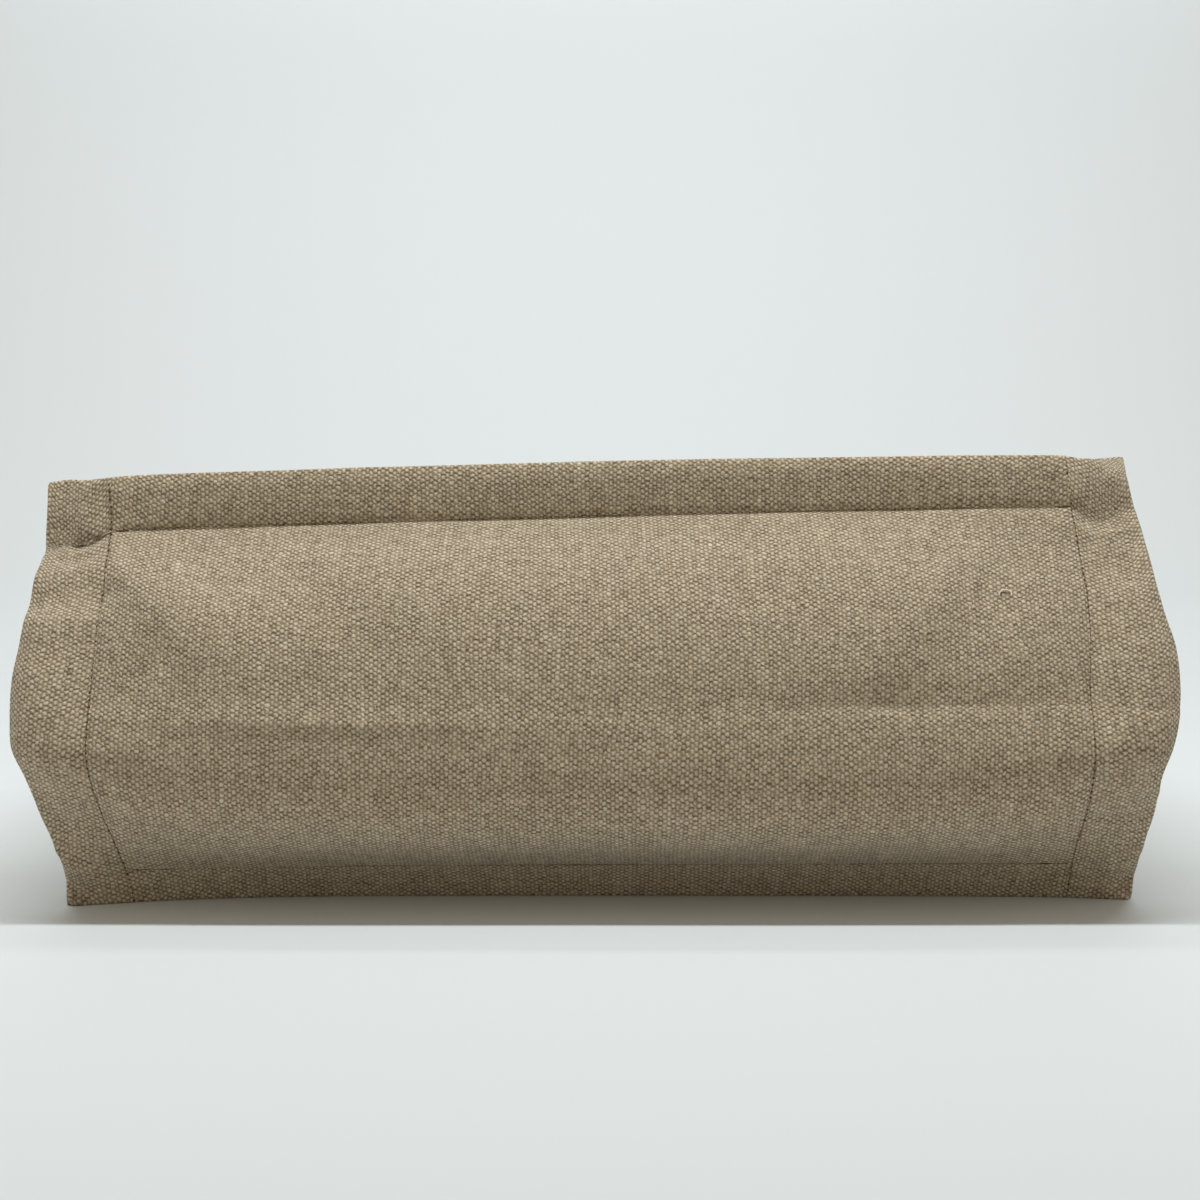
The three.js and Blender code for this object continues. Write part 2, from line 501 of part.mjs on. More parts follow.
// A flat strap along its route: flat where it is sewn, rolled up on edge round its loop
function strap(rows, mouth, sewnHeight) {
  const full = [...rows, ...rows.slice(0, -1).reverse().map((row) => ({ ...row, x: -row.x }))];
  const route = new THREE.CatmullRomCurve3(
    full.map((row) => new THREE.Vector3(row.x, mouth + row.out, row.sewn ? sewnHeight(row) : row.above)),
    false,
    'catmullrom',
  );
  const gaps = full.length - 1;
  const count = gaps * STRAP_STEPS;
  const stations = steps(0, gaps, count).map((place) => {
    const row = Math.min(Math.floor(place), gaps - 1);
    const tilt = degToRad(lerp(full[row].tilt, full[row + 1].tilt, place - row));
    const point = route.getPoint(place / gaps);
    const rest = STRAP_WIDTH / 2 * Math.sin(tilt) + STRAP_THICK / 2 * Math.cos(tilt);
    point.z = Math.max(point.z, 0) + rest;
    return { point, tilt };
  });
  const positions = [];
  stations.forEach(({ point, tilt }, k) => {
    const before = stations[Math.max(k - 1, 0)].point;
    const after = stations[Math.min(k + 1, count)].point;
    const heading = new THREE.Vector3().subVectors(after, before).normalize();
    const level = new THREE.Vector3().crossVectors(heading, new THREE.Vector3(0, 0, 1)).normalize();
    const upright = new THREE.Vector3().crossVectors(level, heading).normalize();
    const wide = level.clone().multiplyScalar(Math.cos(tilt)).addScaledVector(upright, Math.sin(tilt));
    const thick = new THREE.Vector3().crossVectors(wide, heading);
    [[-1, -1], [1, -1], [1, 1], [-1, 1]].forEach(([w, h]) => {
      const corner = point.clone().addScaledVector(wide, w * STRAP_WIDTH / 2)
        .addScaledVector(thick, h * STRAP_THICK / 2);
      positions.push(corner.x, corner.y, corner.z);
    });
  });
  const index = [];
  const quad = (a, b, c, d) => index.push(a, b, c, a, c, d);
  for (let k = 0; k < count; k += 1) {
    for (let side = 0; side < 4; side += 1) {
      const next = (side + 1) % 4;
      quad(4 * k + side, 4 * k + 4 + side, 4 * k + 4 + next, 4 * k + next);
    }
  }
  quad(0, 1, 2, 3);
  quad(4 * count + 3, 4 * count + 2, 4 * count + 1, 4 * count);
  const geometry = new THREE.BufferGeometry();
  geometry.setAttribute('position', new THREE.Float32BufferAttribute(positions, 3));
  geometry.setIndex(index);
  return geometry;
}

// Each piece is cut from the same greige cloth
const GREIGE = 0x9a8c72;
const bag = new THREE.Group();
function addPiece(name, geometry, shade) {
  const color = new THREE.Color(GREIGE).multiplyScalar(shade);
  const cloth = new THREE.MeshStandardMaterial({ color, roughness: 0.95, metalness: 0 });
  const piece = new THREE.Mesh(geometry, cloth);
  piece.name = name;
  bag.add(piece);
}

addPiece('base_panel', basePanel(), 1);
addPiece('front_panel', frontPanel(), 0.97);
addPiece('back_panel', backPanel(), 0.95);
for (const side of SIDES) addPiece(side.name, sidePanel(side), 0.93);
const frontMouth = frontBody(STRAP_SPREAD, FRONT_REACH).y;
const HEM_TO_STRAP = CLOTH / 2 + HEM_PLY + PLY_GAP + FIN_GAP + STRAP_THICK;
const underHem = ({ x, out }) => Math.min(...[x - STRAP_WIDTH / 2, x, x + STRAP_WIDTH / 2]
  .map((across) => frontBody(across, FRONT_REACH + out).z)) - HEM_TO_STRAP;
const onHem = () => CLOTH + HEM_PLY + PLY_GAP;
addPiece('handle_front', strap(FRONT_STRAP, frontMouth, underHem), 0.9);
addPiece('handle_back', strap(BACK_STRAP, BACK_MOUTH, onHem), 0.9);

// The origin lies on the floor under the middle of the whole bag
const extent = new THREE.Box3().setFromObject(bag);
bag.position.set(-(extent.min.x + extent.max.x) / 2, -(extent.min.y + extent.max.y) / 2, -extent.min.z);
bag.updateMatrixWorld(true);

export default bag;
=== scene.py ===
"""A tote bag of heavy canvas, lying on its back with its base towards the camera."""

import math

import bpy
import numpy as np
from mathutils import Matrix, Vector


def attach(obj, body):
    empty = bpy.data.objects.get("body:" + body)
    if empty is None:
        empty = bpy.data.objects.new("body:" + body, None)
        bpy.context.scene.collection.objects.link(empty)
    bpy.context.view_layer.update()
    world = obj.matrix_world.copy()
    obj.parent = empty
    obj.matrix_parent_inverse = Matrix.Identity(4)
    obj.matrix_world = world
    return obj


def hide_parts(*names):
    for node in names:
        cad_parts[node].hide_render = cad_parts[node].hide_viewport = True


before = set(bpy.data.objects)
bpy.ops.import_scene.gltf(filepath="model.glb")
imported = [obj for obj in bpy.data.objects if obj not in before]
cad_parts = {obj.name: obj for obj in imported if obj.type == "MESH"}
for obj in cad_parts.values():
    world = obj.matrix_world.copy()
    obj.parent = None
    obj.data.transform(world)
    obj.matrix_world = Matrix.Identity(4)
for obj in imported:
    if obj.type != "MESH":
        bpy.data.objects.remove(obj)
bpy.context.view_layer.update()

# Sizes
# Lengths are in millimetres on the bag, measured from the foremost line of the base,
# and SHIFT and MM take them to the row frame in metres.
MM = 0.001
SHIFT = np.array([-0.55, -291.165, 0.0])
CLOTH = 1.6
HALF_CLOTH = CLOTH / 2
PLY_GAP = 0.7
FIN_GAP = 0.3
NEXT_LAYER = 1.5 * CLOTH + PLY_GAP
FLANGE = 22
BASE_HALF = 186.5
FRONT_REACH = 326
BACK_MOUTH = 384
HEM_DEPTH = 30
HEM_PLY = 1.6
TURN = 2.5
STRAP_WIDTH = 28
STRAP_THICK = 3.2
FLOOR_BEND = 8.7
LOW_SEAM = 22
CREASED_FROM = 30
TOP_SEAM = 190
RIDGE = 212
ROLL = NEXT_LAYER / 2 - HALF_CLOTH / 2
STITCH = 3.0


def table(names, *rows):
    """The columns of a small table by name"""
    return dict(zip(names.split(), np.array(rows, float).T))


# The middle of the base panel from its tucked-under edge to the ridge, along the cloth
BASE_ROWS = table(
    "at back up puff",
    (0, 52.2, 0, 0),
    (8.7, 43.5, 0, 0),
    (22, 35, 12, 0),
    (44, 19.4, 27, 0),
    (57, 11.3, 37, 0),
    (68, 5.7, 45.5, 0.1),
    (77, 1.7, 53.5, 0.35),
    (88, 0, 64, 0.85),
    (100, 5.4, 75, 1),
    (116, 13.2, 88.5, 1),
    (131, 20.8, 102, 0.8),
    (147, 29.4, 115.5, 0.35),
    (165, 41, 129.8, 0),
    (190, 57.7, 148.1, 0),
    (212, 52, 169.7, 0),
)
# Its two ends: how far out and back the stitching and the edge lie, the lift and the droop
END_COLUMNS = "at stitch edge stitch_back edge_back lift droop"
LEFT_END = table(
    END_COLUMNS,
    (0, 178, 201, -10, -16, 0, 0),
    (8.7, 178, 202, -11, -18, 0, 0),
    (22, 179.7, 203, -7, -13, 0, 0),
    (44, 182.2, 206.8, -2, 1, 0, 0),
    (57, 184.4, 209.8, 0, 5, 0, 0),
    (68, 185.6, 211.4, 0, 5, 0, 0),
    (77, 186.7, 213.8, 0, 4, 0, 0),
    (88, 187.5, 218.7, 0, 2, 0, 0),
    (100, 187.8, 220.4, 0, 0, 0, 0),
    (116, 188.2, 220.9, 0, -2, 0, 0),
    (131, 188.3, 219.6, 0, -2, 0, 0),
    (147, 188.3, 218, 0, 1, -0.5, 0),
    (165, 188.5, 217.2, 0, 4, -2.5, 0.4),
    (190, 189.5, 218, -1, 7, -5.5, 1.6),
    (212, 189.5, 216, 1, 10, -6, 2.7),
)
RIGHT_END = table(
    END_COLUMNS,
    (0, 184, 206.5, -3, -6, 0, 0),
    (8.7, 184, 208, -3, -7, 0, 0),
    (22, 183.8, 209.5, -2, -4, 0, 0),
    (44, 183.2, 210.6, 0, 4, 0, 0),
    (57, 183.9, 212.2, 0, 7, 0, 0),
    (68, 184.2, 212.3, 0, 7, 0, 0),
    (77, 184.2, 213, 0, 5, 0, 0),
    (88, 184.2, 217, 0, 3, 0, 0),
    (100, 184.5, 220.3, 0, 0, 0, 0),
    (116, 185, 222, 0, -2, 0, 0),
    (131, 186.7, 221.4, 0, -2, 0, 0),
    (147, 187.5, 217.4, 0, 1, 0.3, 0),
    (165, 187.4, 216, 0, 4, 1.5, 0.4),
    (190, 186.7, 214.4, -1, 7, 4, 1.4),
    (212, 182.6, 208, 1, 10, 2.4, 2.3),
)
END_ROUND = {"from": 0.5, "back": 9, "swell": 3, "sharpness": 4}
# Soft ridges, and troughs where height is negative: their middle, turn and half-sizes
CREASE_COLUMNS = "across run turn long wide height"
BASE_CREASES = table(
    CREASE_COLUMNS,
    (-95, 99, -1, 95, 7, 1.6),
    (120, 109, 1, 80, 7, -1.6),
    (-158, 146, -48, 44, 11, 2.6),
    (-118, 160, -38, 50, 14, -2.4),
    (150, 150, 52, 50, 15, -2.2),
    (118, 140, 46, 46, 15, 1.8),
    (-198, 164, 8, 20, 7, 1.8),
    (-200, 150, 10, 20, 7, -1.8),
    (200, 150, -12, 20, 7, 1.6),
    (40, 52, 3, 110, 13, 1.2),
    (-197, 202, 60, 18, 9, 1.2),
    (198, 201, -55, 18, 9, 1.2),
)
FRONT_ROWS = table(
    "at drop side_drop half droop",
    (0, 0, 0, 188.4, 0),
    (36, 2.5, 1.5, 188, 2),
    (90, 13, 8, 187.5, 4),
    (150, 29, 19, 187, 5),
    (210, 41, 30, 186.6, 4),
    (270, 49, 39, 186.5, 3),
    (326, 52, 46, 186.5, 2),
)
FRONT_CREASES = table(
    CREASE_COLUMNS,
    (-60, 118, 7, 130, 13, -4.5),
    (100, 132, -9, 90, 14, 4),
    (-132, 70, 46, 62, 15, 4.5),
    (128, 64, -44, 62, 15, -5),
    (20, 215, 12, 100, 20, 4),
    (-125, 250, -28, 60, 18, -4),
    (140, 235, 24, 55, 18, -4),
)
FRONT_LEVEL = 59
FRONT_STEP_DOWN = 2.2
FRONT_SETTLED = 60
FRONT_CREASED_FROM = 40
BACK_SETTLING = (50, 130)
BACK_SLOPE = ((5, 0.42), (10, 0.66), (16, 0.8), (21, 0.92), (27, 1))
SIDE_FORM = {
    "levelled": 0.35,
    "swell_ends": 0.42,
    "joined": 0.3,
    "fold_starts": 0.25,
    "fold_round": 1.25,
    "low": 78,
    "ripple_starts": 0.12,
}
SIDE_TOP = 184
SIDE_LOW = 31
STRAP_COLUMNS = "out x sewn above tilt"
BACK_STRAP = table(
    STRAP_COLUMNS,
    (-30, 75, 1, 0, 0),
    (2, 75, 1, 0, 0),
    (34, 77, 0, 0, 0),
    (70, 84, 0, 0, 12),
    (108, 90, 0, 0, 38),
    (146, 84, 0, 0, 66),
    (182, 58, 0, 0, 84),
    (196, 24, 0, 0, 90),
    (198, 0, 0, 0, 90),
)
FRONT_STRAP = table(
    STRAP_COLUMNS,
    (-30, 75, 1, 0, 0),
    (0, 75, 1, 0, 0),
    (24, 75, 0, 84, 0),
    (45, 73, 0, 64, 0),
    (60, 70, 0, 38, 4),
    (76, 65, 0, 15, 14),
    (98, 58, 0, 2, 34),
    (124, 49, 0, 0, 60),
    (146, 34, 0, 0, 82),
    (156, 14, 0, 0, 90),
    (157, 0, 0, 0, 90),
)

# How the soft base panel stands out between its seams, by the run along its cloth
BELLY = table(
    "at out",
    (0, 0),
    (22, 0),
    (31, 2.6),
    (44, 7.6),
    (57, 9.4),
    (68, 7.4),
    (77, 3.9),
    (88, 0.9),
    (100, 3.2),
    (116, 6.9),
    (131, 9.0),
    (147, 9.6),
    (165, 8.4),
    (190, 0),
    (212, 0),
)
BELLY_EVENNESS = 8
# How the flange over the top seam leans back and rounds over at its ridge, by the run
RIDGE_LEAN = table(
    "at back up",
    (0, 0, 0),
    (180, 0, 0),
    (190, 0, 0),
    (196, 1.8, 0.1),
    (202, 3.9, 0.3),
    (207, 6.2, 0.6),
    (212, 10.0, 0.9),
)
RIDGE_SPREAD = 0.26
# How far the outer corners of that flange stand up, beyond a run
EARS_UP = {"left": 2.1, "right": 1.9, "from": 192}
# How the fold beside the top seam hangs lower over the side flange, by the share of the way across it
LEFT_EAR = table("at drop", (0, 0), (0.3, 4.4), (0.7, 5.2), (1, 5.4))
RIGHT_EAR = table("at drop", (0, 0), (0.25, 5.2), (0.5, 5.0), (0.8, 1.8), (1, 0.4))
EAR_REACH = 15
EAR_FORWARD = 0.55
BENT_OUT = 0.28
BEND_ROUND = 0.7
# Corners of the side flanges that are bent back: a place on the fold, the way the corner lies from it,
# how steeply it is bent, and the runs between which the bend grows
CORNERS = table(
    "across run turn bend low high",
    (193, 212, 54.6, 1.7, 0, 0),
    (-207, 34, 212, 1.0, 9, 20),
    (206, 32, 332, 0.9, 9, 20),
)
# Finer folds and wrinkles than the solids have, in the same columns
BASE_WRINKLES = table(
    CREASE_COLUMNS,
    (-200, 207, -50, 9, 4, -1.9),
    (-203, 196, 70, 9, 4, -1.6),
    (-194, 14, 0, 6, 5, -1.6),
    (-199, 27, 60, 12, 4, 1.2),
    (197, 17, 0, 7, 5, -1.2),
    (-193, 197, -62, 13, 3.5, 1.9),
    (-196, 181, 4, 14, 4, 1.0),
    (200, 194, 12, 10, 5, -1.1),
    (190, 200, 70, 10, 4, 1.4),
    (197, 181, -4, 14, 4, 1.1),
    (205, 105, 0, 16, 2.2, -0.9),
    (203, 72, -20, 12, 3, 1.2),
    (-100, 98, -1, 62, 2.4, 0.7),
    (126, 107, 1, 62, 2.4, -0.8),
    (196, 58, 2, 12, 2.2, -0.8),
    (-170, 152, -50, 26, 5, 1.0),
    (-142, 160, -46, 30, 5, -0.9),
    (-200, 128, 4, 16, 6, -1.0),
    (-199, 141, 4, 16, 5, 1.0),
    (-20, 178, 2, 150, 6, 0.4),
)
FRONT_WRINKLES = table(
    CREASE_COLUMNS,
    (-20, 60, 4, 60, 6, 1.0),
    (60, 96, -16, 50, 5, -1.1),
    (-90, 180, 22, 55, 6, 1.2),
    (90, 200, -12, 60, 6, -1.1),
    (0, 270, 3, 80, 7, 1.2),
)
SIDE_WRINKLES = table(
    CREASE_COLUMNS,
    (150, 60, 20, 12, 40, 1.6),
    (110, 110, -12, 10, 45, -1.8),
    (80, 60, 10, 12, 50, 1.5),
    (-140, 70, -18, 12, 40, 1.6),
    (-105, 120, 12, 10, 45, -1.8),
    (-70, 60, -8, 12, 50, 1.5),
)


# Shapes of the cloth
def lerp(a, b, t):
    return a + (b - a) * t


def smoothstep(x, low, high):
    t = np.clip((x - low) / (high - low), 0, 1)
    return t * t * (3 - 2 * t)


def unit(vectors):
    return vectors / np.maximum(np.linalg.norm(vectors, axis=-1, keepdims=True), 1e-9)


def points(x, y, z):
    return np.stack(np.broadcast_arrays(x, y, z), axis=-1).astype(float)


def together(a, b):
    return np.broadcast_arrays(np.asarray(a, float), np.asarray(b, float))


def read(rows, place, name):
    """A column of a table at any places along it, smooth but at the base panel's two folds"""
    at, value = rows["at"], rows[name]
    fold = np.isin(at, (FLOOR_BEND, TOP_SEAM))
    slope = np.diff(value) / np.diff(at)
    last = len(slope) - 1
    row = np.searchsorted(at[1:-1], place, side="left")
    here = slope[row]
    before = np.where((row == 0) | fold[row], here, (slope[np.maximum(row - 1, 0)] + here) / 2)
    after = np.where((row == last) | fold[row + 1], here, (here + slope[np.minimum(row + 1, last)]) / 2)
    gap, rise = at[row + 1] - at[row], value[row + 1] - value[row]
    t = (place - at[row]) / gap
    bend = gap * (before + after) - 2 * rise
    return value[row] + t * (gap * before + t * (3 * rise - gap * (2 * before + after) + t * bend))


def creased(creases, across, run):
    """Height of soft creases at places of a panel"""
    height = np.zeros(np.broadcast(across, run).shape)
    for x, y, turn, long, wide, high in zip(*creases.values()):
        cos, sin = math.cos(math.radians(turn)), math.sin(math.radians(turn))
        dx, dy = across - x, run - y
        along, beside = (dx * cos + dy * sin) / long, (dy * cos - dx * sin) / wide
        height += high * np.exp(-(along**2) - beside**2)
    return height


def in_and_out(across):
    """Shares of the way from the middle to the stitching, and from there over the flange"""
    far = np.abs(across)
    return np.minimum(far / BASE_HALF, 1), np.maximum(far - BASE_HALF, 0) / FLANGE


def bent_back(across, run):
    """How far the flange's corners are turned back beyond their slanting folds"""
    total = 0
    for x, y, turn, bend, low, high in zip(*CORNERS.values()):
        angle = math.radians(turn)
        past = (across - x) * math.cos(angle) + (run - y) * math.sin(angle)
        held = smoothstep(run, low, high) if high > low else 1
        total = total + bend * held * (past + np.hypot(past, BEND_ROUND)) / 2
    return total


def base_face(across, run):
    """Outer face of the base panel"""
    across, run = together(across, run)
    inner, outer = in_and_out(across)

    def end(name):
        return np.where(across < 0, read(LEFT_END, run, name), read(RIGHT_END, run, name))

    roll = np.maximum(outer - END_ROUND["from"], 0) / (1 - END_ROUND["from"])
    swell = np.sin(np.pi * np.minimum(outer, 1))
    x = end("stitch") * inner + (end("edge") - end("stitch")) * outer
    back = (
        read(BASE_ROWS, run, "back")
        + end("stitch_back") * inner ** END_ROUND["sharpness"]
        + (end("edge_back") - end("stitch_back")) * outer
        + read(BASE_ROWS, run, "puff") * (END_ROUND["back"] * roll**3 - END_ROUND["swell"] * swell)
    )
    level = across / BASE_HALF
    left, right = read(LEFT_END, run, "lift"), read(RIGHT_END, run, "lift")
    lift = (right - left) / 2 * level + (right + left) / 2 * level**2
    up = read(BASE_ROWS, run, "up") + lift - end("droop") * outer**2
    ear = np.where(across < 0, read(LEFT_EAR, outer, "drop"), read(RIGHT_EAR, outer, "drop"))
    ear = ear * np.exp(-(((run - TOP_SEAM) / EAR_REACH) ** 2))
    raised = np.where(across < 0, EARS_UP["left"], EARS_UP["right"])
    raised = raised * np.minimum(outer, 1) ** 2 * smoothstep(run, EARS_UP["from"], RIDGE)
    up = up - ear + raised + read(RIDGE_LEAN, run, "up")
    bent = bent_back(across, run)
    x = x + bent * BENT_OUT
    lean = read(RIDGE_LEAN, run, "back")
    x = x + lean * np.abs(level) * RIDGE_SPREAD
    back = back - ear * EAR_FORWARD + bent + lean
    back = back - read(BELLY, run, "out") * (1 - inner**BELLY_EVENNESS)
    step = 0.5
    dy = read(BASE_ROWS, run + step, "back") - read(BASE_ROWS, run - step, "back")
    dz = read(BASE_ROWS, run + step, "up") - read(BASE_ROWS, run - step, "up")
    size = np.hypot(dy, dz)
    height = creased(BASE_CREASES, across, run) * smoothstep(run, FLOOR_BEND, CREASED_FROM)
    height = height + creased(BASE_WRINKLES, across, run) * smoothstep(run, FLOOR_BEND, LOW_SEAM)
    z = np.maximum(up + dy / size * height, 0)
    return points(np.sign(across) * x, back - dz / size * height, z)


def base_layer(across, run, depth):
    """The same face moved into the bag, square to the cloth on both sides of a fold"""
    step = 0.4
    here = base_face(across, run)
    along = base_face(np.add(across, step), run) - base_face(np.subtract(across, step), run)
    below = unit(np.cross(here - base_face(across, np.subtract(run, step)), along))
    above = unit(np.cross(base_face(across, np.add(run, step)) - here, along))
    mitre = depth / (1 + (below * above).sum(-1))
    return here + (below + above) * np.asarray(mitre)[..., None]


def front_body(across, along):
    """Middle of the front panel behind the base seam"""
    across, along = together(across, along)
    start = base_layer(across, TOP_SEAM + TURN, NEXT_LAYER)
    inner, outer = in_and_out(across)
    drop = lerp(read(FRONT_ROWS, along, "drop"), read(FRONT_ROWS, along, "side_drop"), inner**2)
    drop = drop + read(FRONT_ROWS, along, "droop") * outer**2
    settle = smoothstep(along, 0, FRONT_SETTLED)
    half = read(FRONT_ROWS, along, "half")
    x = lerp(np.abs(start[..., 0]), half * inner + FLANGE * outer, settle)
    hem = FRONT_REACH - HEM_DEPTH
    near = smoothstep(along, 0, FRONT_CREASED_FROM)
    height = creased(FRONT_CREASES, across, along) * near * (1 - smoothstep(along, hem - HEM_DEPTH, hem))
    height = height + creased(FRONT_WRINKLES, across, along) * near
    return points(
        np.sign(across) * x,
        lerp(start[..., 1], FRONT_LEVEL, settle) + TURN + along,
        start[..., 2] - FRONT_STEP_DOWN - drop + height,
    )


def back_body(across, y):
    """Middle of the back panel on the floor"""
    across, y = together(across, y)
    inner, outer = in_and_out(across)
    start = np.abs(base_face(across, LOW_SEAM)[..., 0])
    x = lerp(start, BASE_HALF * inner + FLANGE * outer, smoothstep(y, *BACK_SETTLING))
    return points(np.sign(across) * x, y, HALF_CLOTH)


class Side:
    """One side panel, from the base back to the mouth, folded inward between front and back"""

    def __init__(self, sign, fold, swell):
        self.sign, self.fold, self.swell = sign, fold, swell
        self.reach = FRONT_REACH - TURN
        self.lowest = self.seam(SIDE_LOW)

    def seam(self, run, outer=0.0):
        return base_layer(self.sign * (BASE_HALF + np.asarray(outer, float)), run, NEXT_LAYER)

    def under_front(self, along, outer):
        point = front_body(self.sign * (BASE_HALF + outer), TURN + np.asarray(along, float))
        return point - [0, 0, CLOTH + PLY_GAP + FIN_GAP]

    def on_back(self, along, outer):
        y = lerp(self.lowest[1] + TURN, BACK_MOUTH, np.asarray(along, float) / self.reach)
        point = back_body(self.sign * (BASE_HALF + outer), y)
        settled = smoothstep(y, self.lowest[1], SIDE_FORM["low"])
        point[..., 2] = lerp(self.lowest[2], NEXT_LAYER, settled)
        return point

    def body(self, run, along):
        run, along = together(run, along)
        share = along / self.reach
        part = np.clip((SIDE_TOP - run) / (SIDE_TOP - SIDE_LOW), 0, 1)
        seam, top, low = self.seam(run), self.under_front(along, 0), self.on_back(along, 0)
        fallen = lerp(top[..., 2] - self.under_front(0, 0)[2], low[..., 2] - self.lowest[2], part)
        spread = lerp(top[..., 2] - TURN, low[..., 2] + TURN, part)
        z = lerp(seam[..., 2] + fallen, spread, smoothstep(share, 0, SIDE_FORM["levelled"]))
        mouth = lerp(self.under_front(self.reach, 0)[1], BACK_MOUTH, part)
        y = lerp(seam[..., 1] + TURN, mouth, share)
        swollen = np.sin(np.pi * np.minimum(share / SIDE_FORM["swell_ends"], 1))
        bulge = self.swell * np.sin(np.pi * part) * swollen
        middle = 1 - np.abs(2 * part - 1)
        tuck = self.fold * smoothstep(share, SIDE_FORM["fold_starts"], 1)
        tuck = tuck * middle ** SIDE_FORM["fold_round"]
        x = lerp(np.abs(seam[..., 0]), np.abs(top[..., 0]), smoothstep(share, 0, SIDE_FORM["joined"]))
        held = np.sin(np.pi * part) * smoothstep(share, 0, SIDE_FORM["ripple_starts"])
        ripple = creased(SIDE_WRINKLES, run * self.sign, along) * held
        return points(self.sign * (x + bulge - tuck + ripple), y, z)


# Making sheets
# A grid's edges, as its axis and whether at the far end, with the mouth of a panel last
ALL_EDGES = ((0, False), (0, True), (1, False), (1, True))
BUT_MOUTH = ALL_EDGES[:3]
ROLL_STEPS = 4
ROLL_TURN = 80
RIM_BULGE = 0.3
# The four sides of a grid's cell: the way to the next cell, and the corners from which and to which it runs
CELL_SIDES = (
    (0, -1, (1, 0), (0, 0)),
    (0, 1, (0, 1), (1, 1)),
    (-1, 0, (0, 0), (0, 1)),
    (1, 0, (1, 1), (1, 0)),
)


def spaced(start, stop, step):
    """Even places from start to stop, about a step apart"""
    return np.linspace(start, stop, max(2, round(abs(stop - start) / step) + 1))


def joined(*parts):
    """Several runs of places as one, without repeats"""
    merged = np.concatenate([np.atleast_1d(p) for p in parts])
    return merged[np.concatenate([[True], np.abs(np.diff(merged)) > 1e-6])]


def unit_or_nan(vectors):
    with np.errstate(invalid="ignore", divide="ignore"):
        return vectors / np.linalg.norm(vectors, axis=-1, keepdims=True)


def grid_normals(grid):
    """Unit normals of a grid of points, towards the cloth's outer face"""

    def slope(axis):
        ahead = np.roll(grid, -1, axis) - grid
        behind = grid - np.roll(grid, 1, axis)
        np.moveaxis(ahead, axis, 0)[-1] = np.nan
        np.moveaxis(behind, axis, 0)[0] = np.nan
        ahead, behind = unit_or_nan(ahead), unit_or_nan(behind)
        return np.where(np.isnan(ahead), behind, np.where(np.isnan(behind), ahead, ahead + behind))

    return unit_or_nan(np.cross(slope(0), slope(1)))


def roll_edges(grid, edges, radius=ROLL):
    """Rolls edges of the cloth inward, as where a seam is turned inside a flange"""
    for axis, at_end in edges:
        work = np.moveaxis(grid, axis, 0)
        normals = np.moveaxis(grid_normals(grid), axis, 0)
        if not at_end:
            work, normals = work[::-1], normals[::-1]
        outward = unit_or_nan(work[-1] - work[-2])
        rows = [work]
        for angle in np.radians(np.linspace(ROLL_TURN / ROLL_STEPS, ROLL_TURN, ROLL_STEPS)):
            lift = outward * math.sin(angle) - normals[-1] * (1 - math.cos(angle))
            rows.append(work[-1:] + lift * radius)
        work = np.concatenate(rows)
        grid = np.moveaxis(work if at_end else work[::-1], 0, axis)
    return grid


def cloth_coordinates(grid):
    """Lengths along the cloth of a grid from its middle lines, in metres, for the weave to follow"""
    result = []
    for axis in (0, 1):
        steps = np.linalg.norm(np.diff(grid, axis=axis), axis=-1)
        usual = np.nanmedian(steps, axis=1 - axis, keepdims=True)
        steps = np.where(np.isnan(steps), usual, steps)
        run = np.insert(np.cumsum(steps, axis=axis), 0, 0, axis=axis)
        result.append(run - np.take(run, [grid.shape[axis] // 2], axis))
    return np.stack(result, -1) * MM


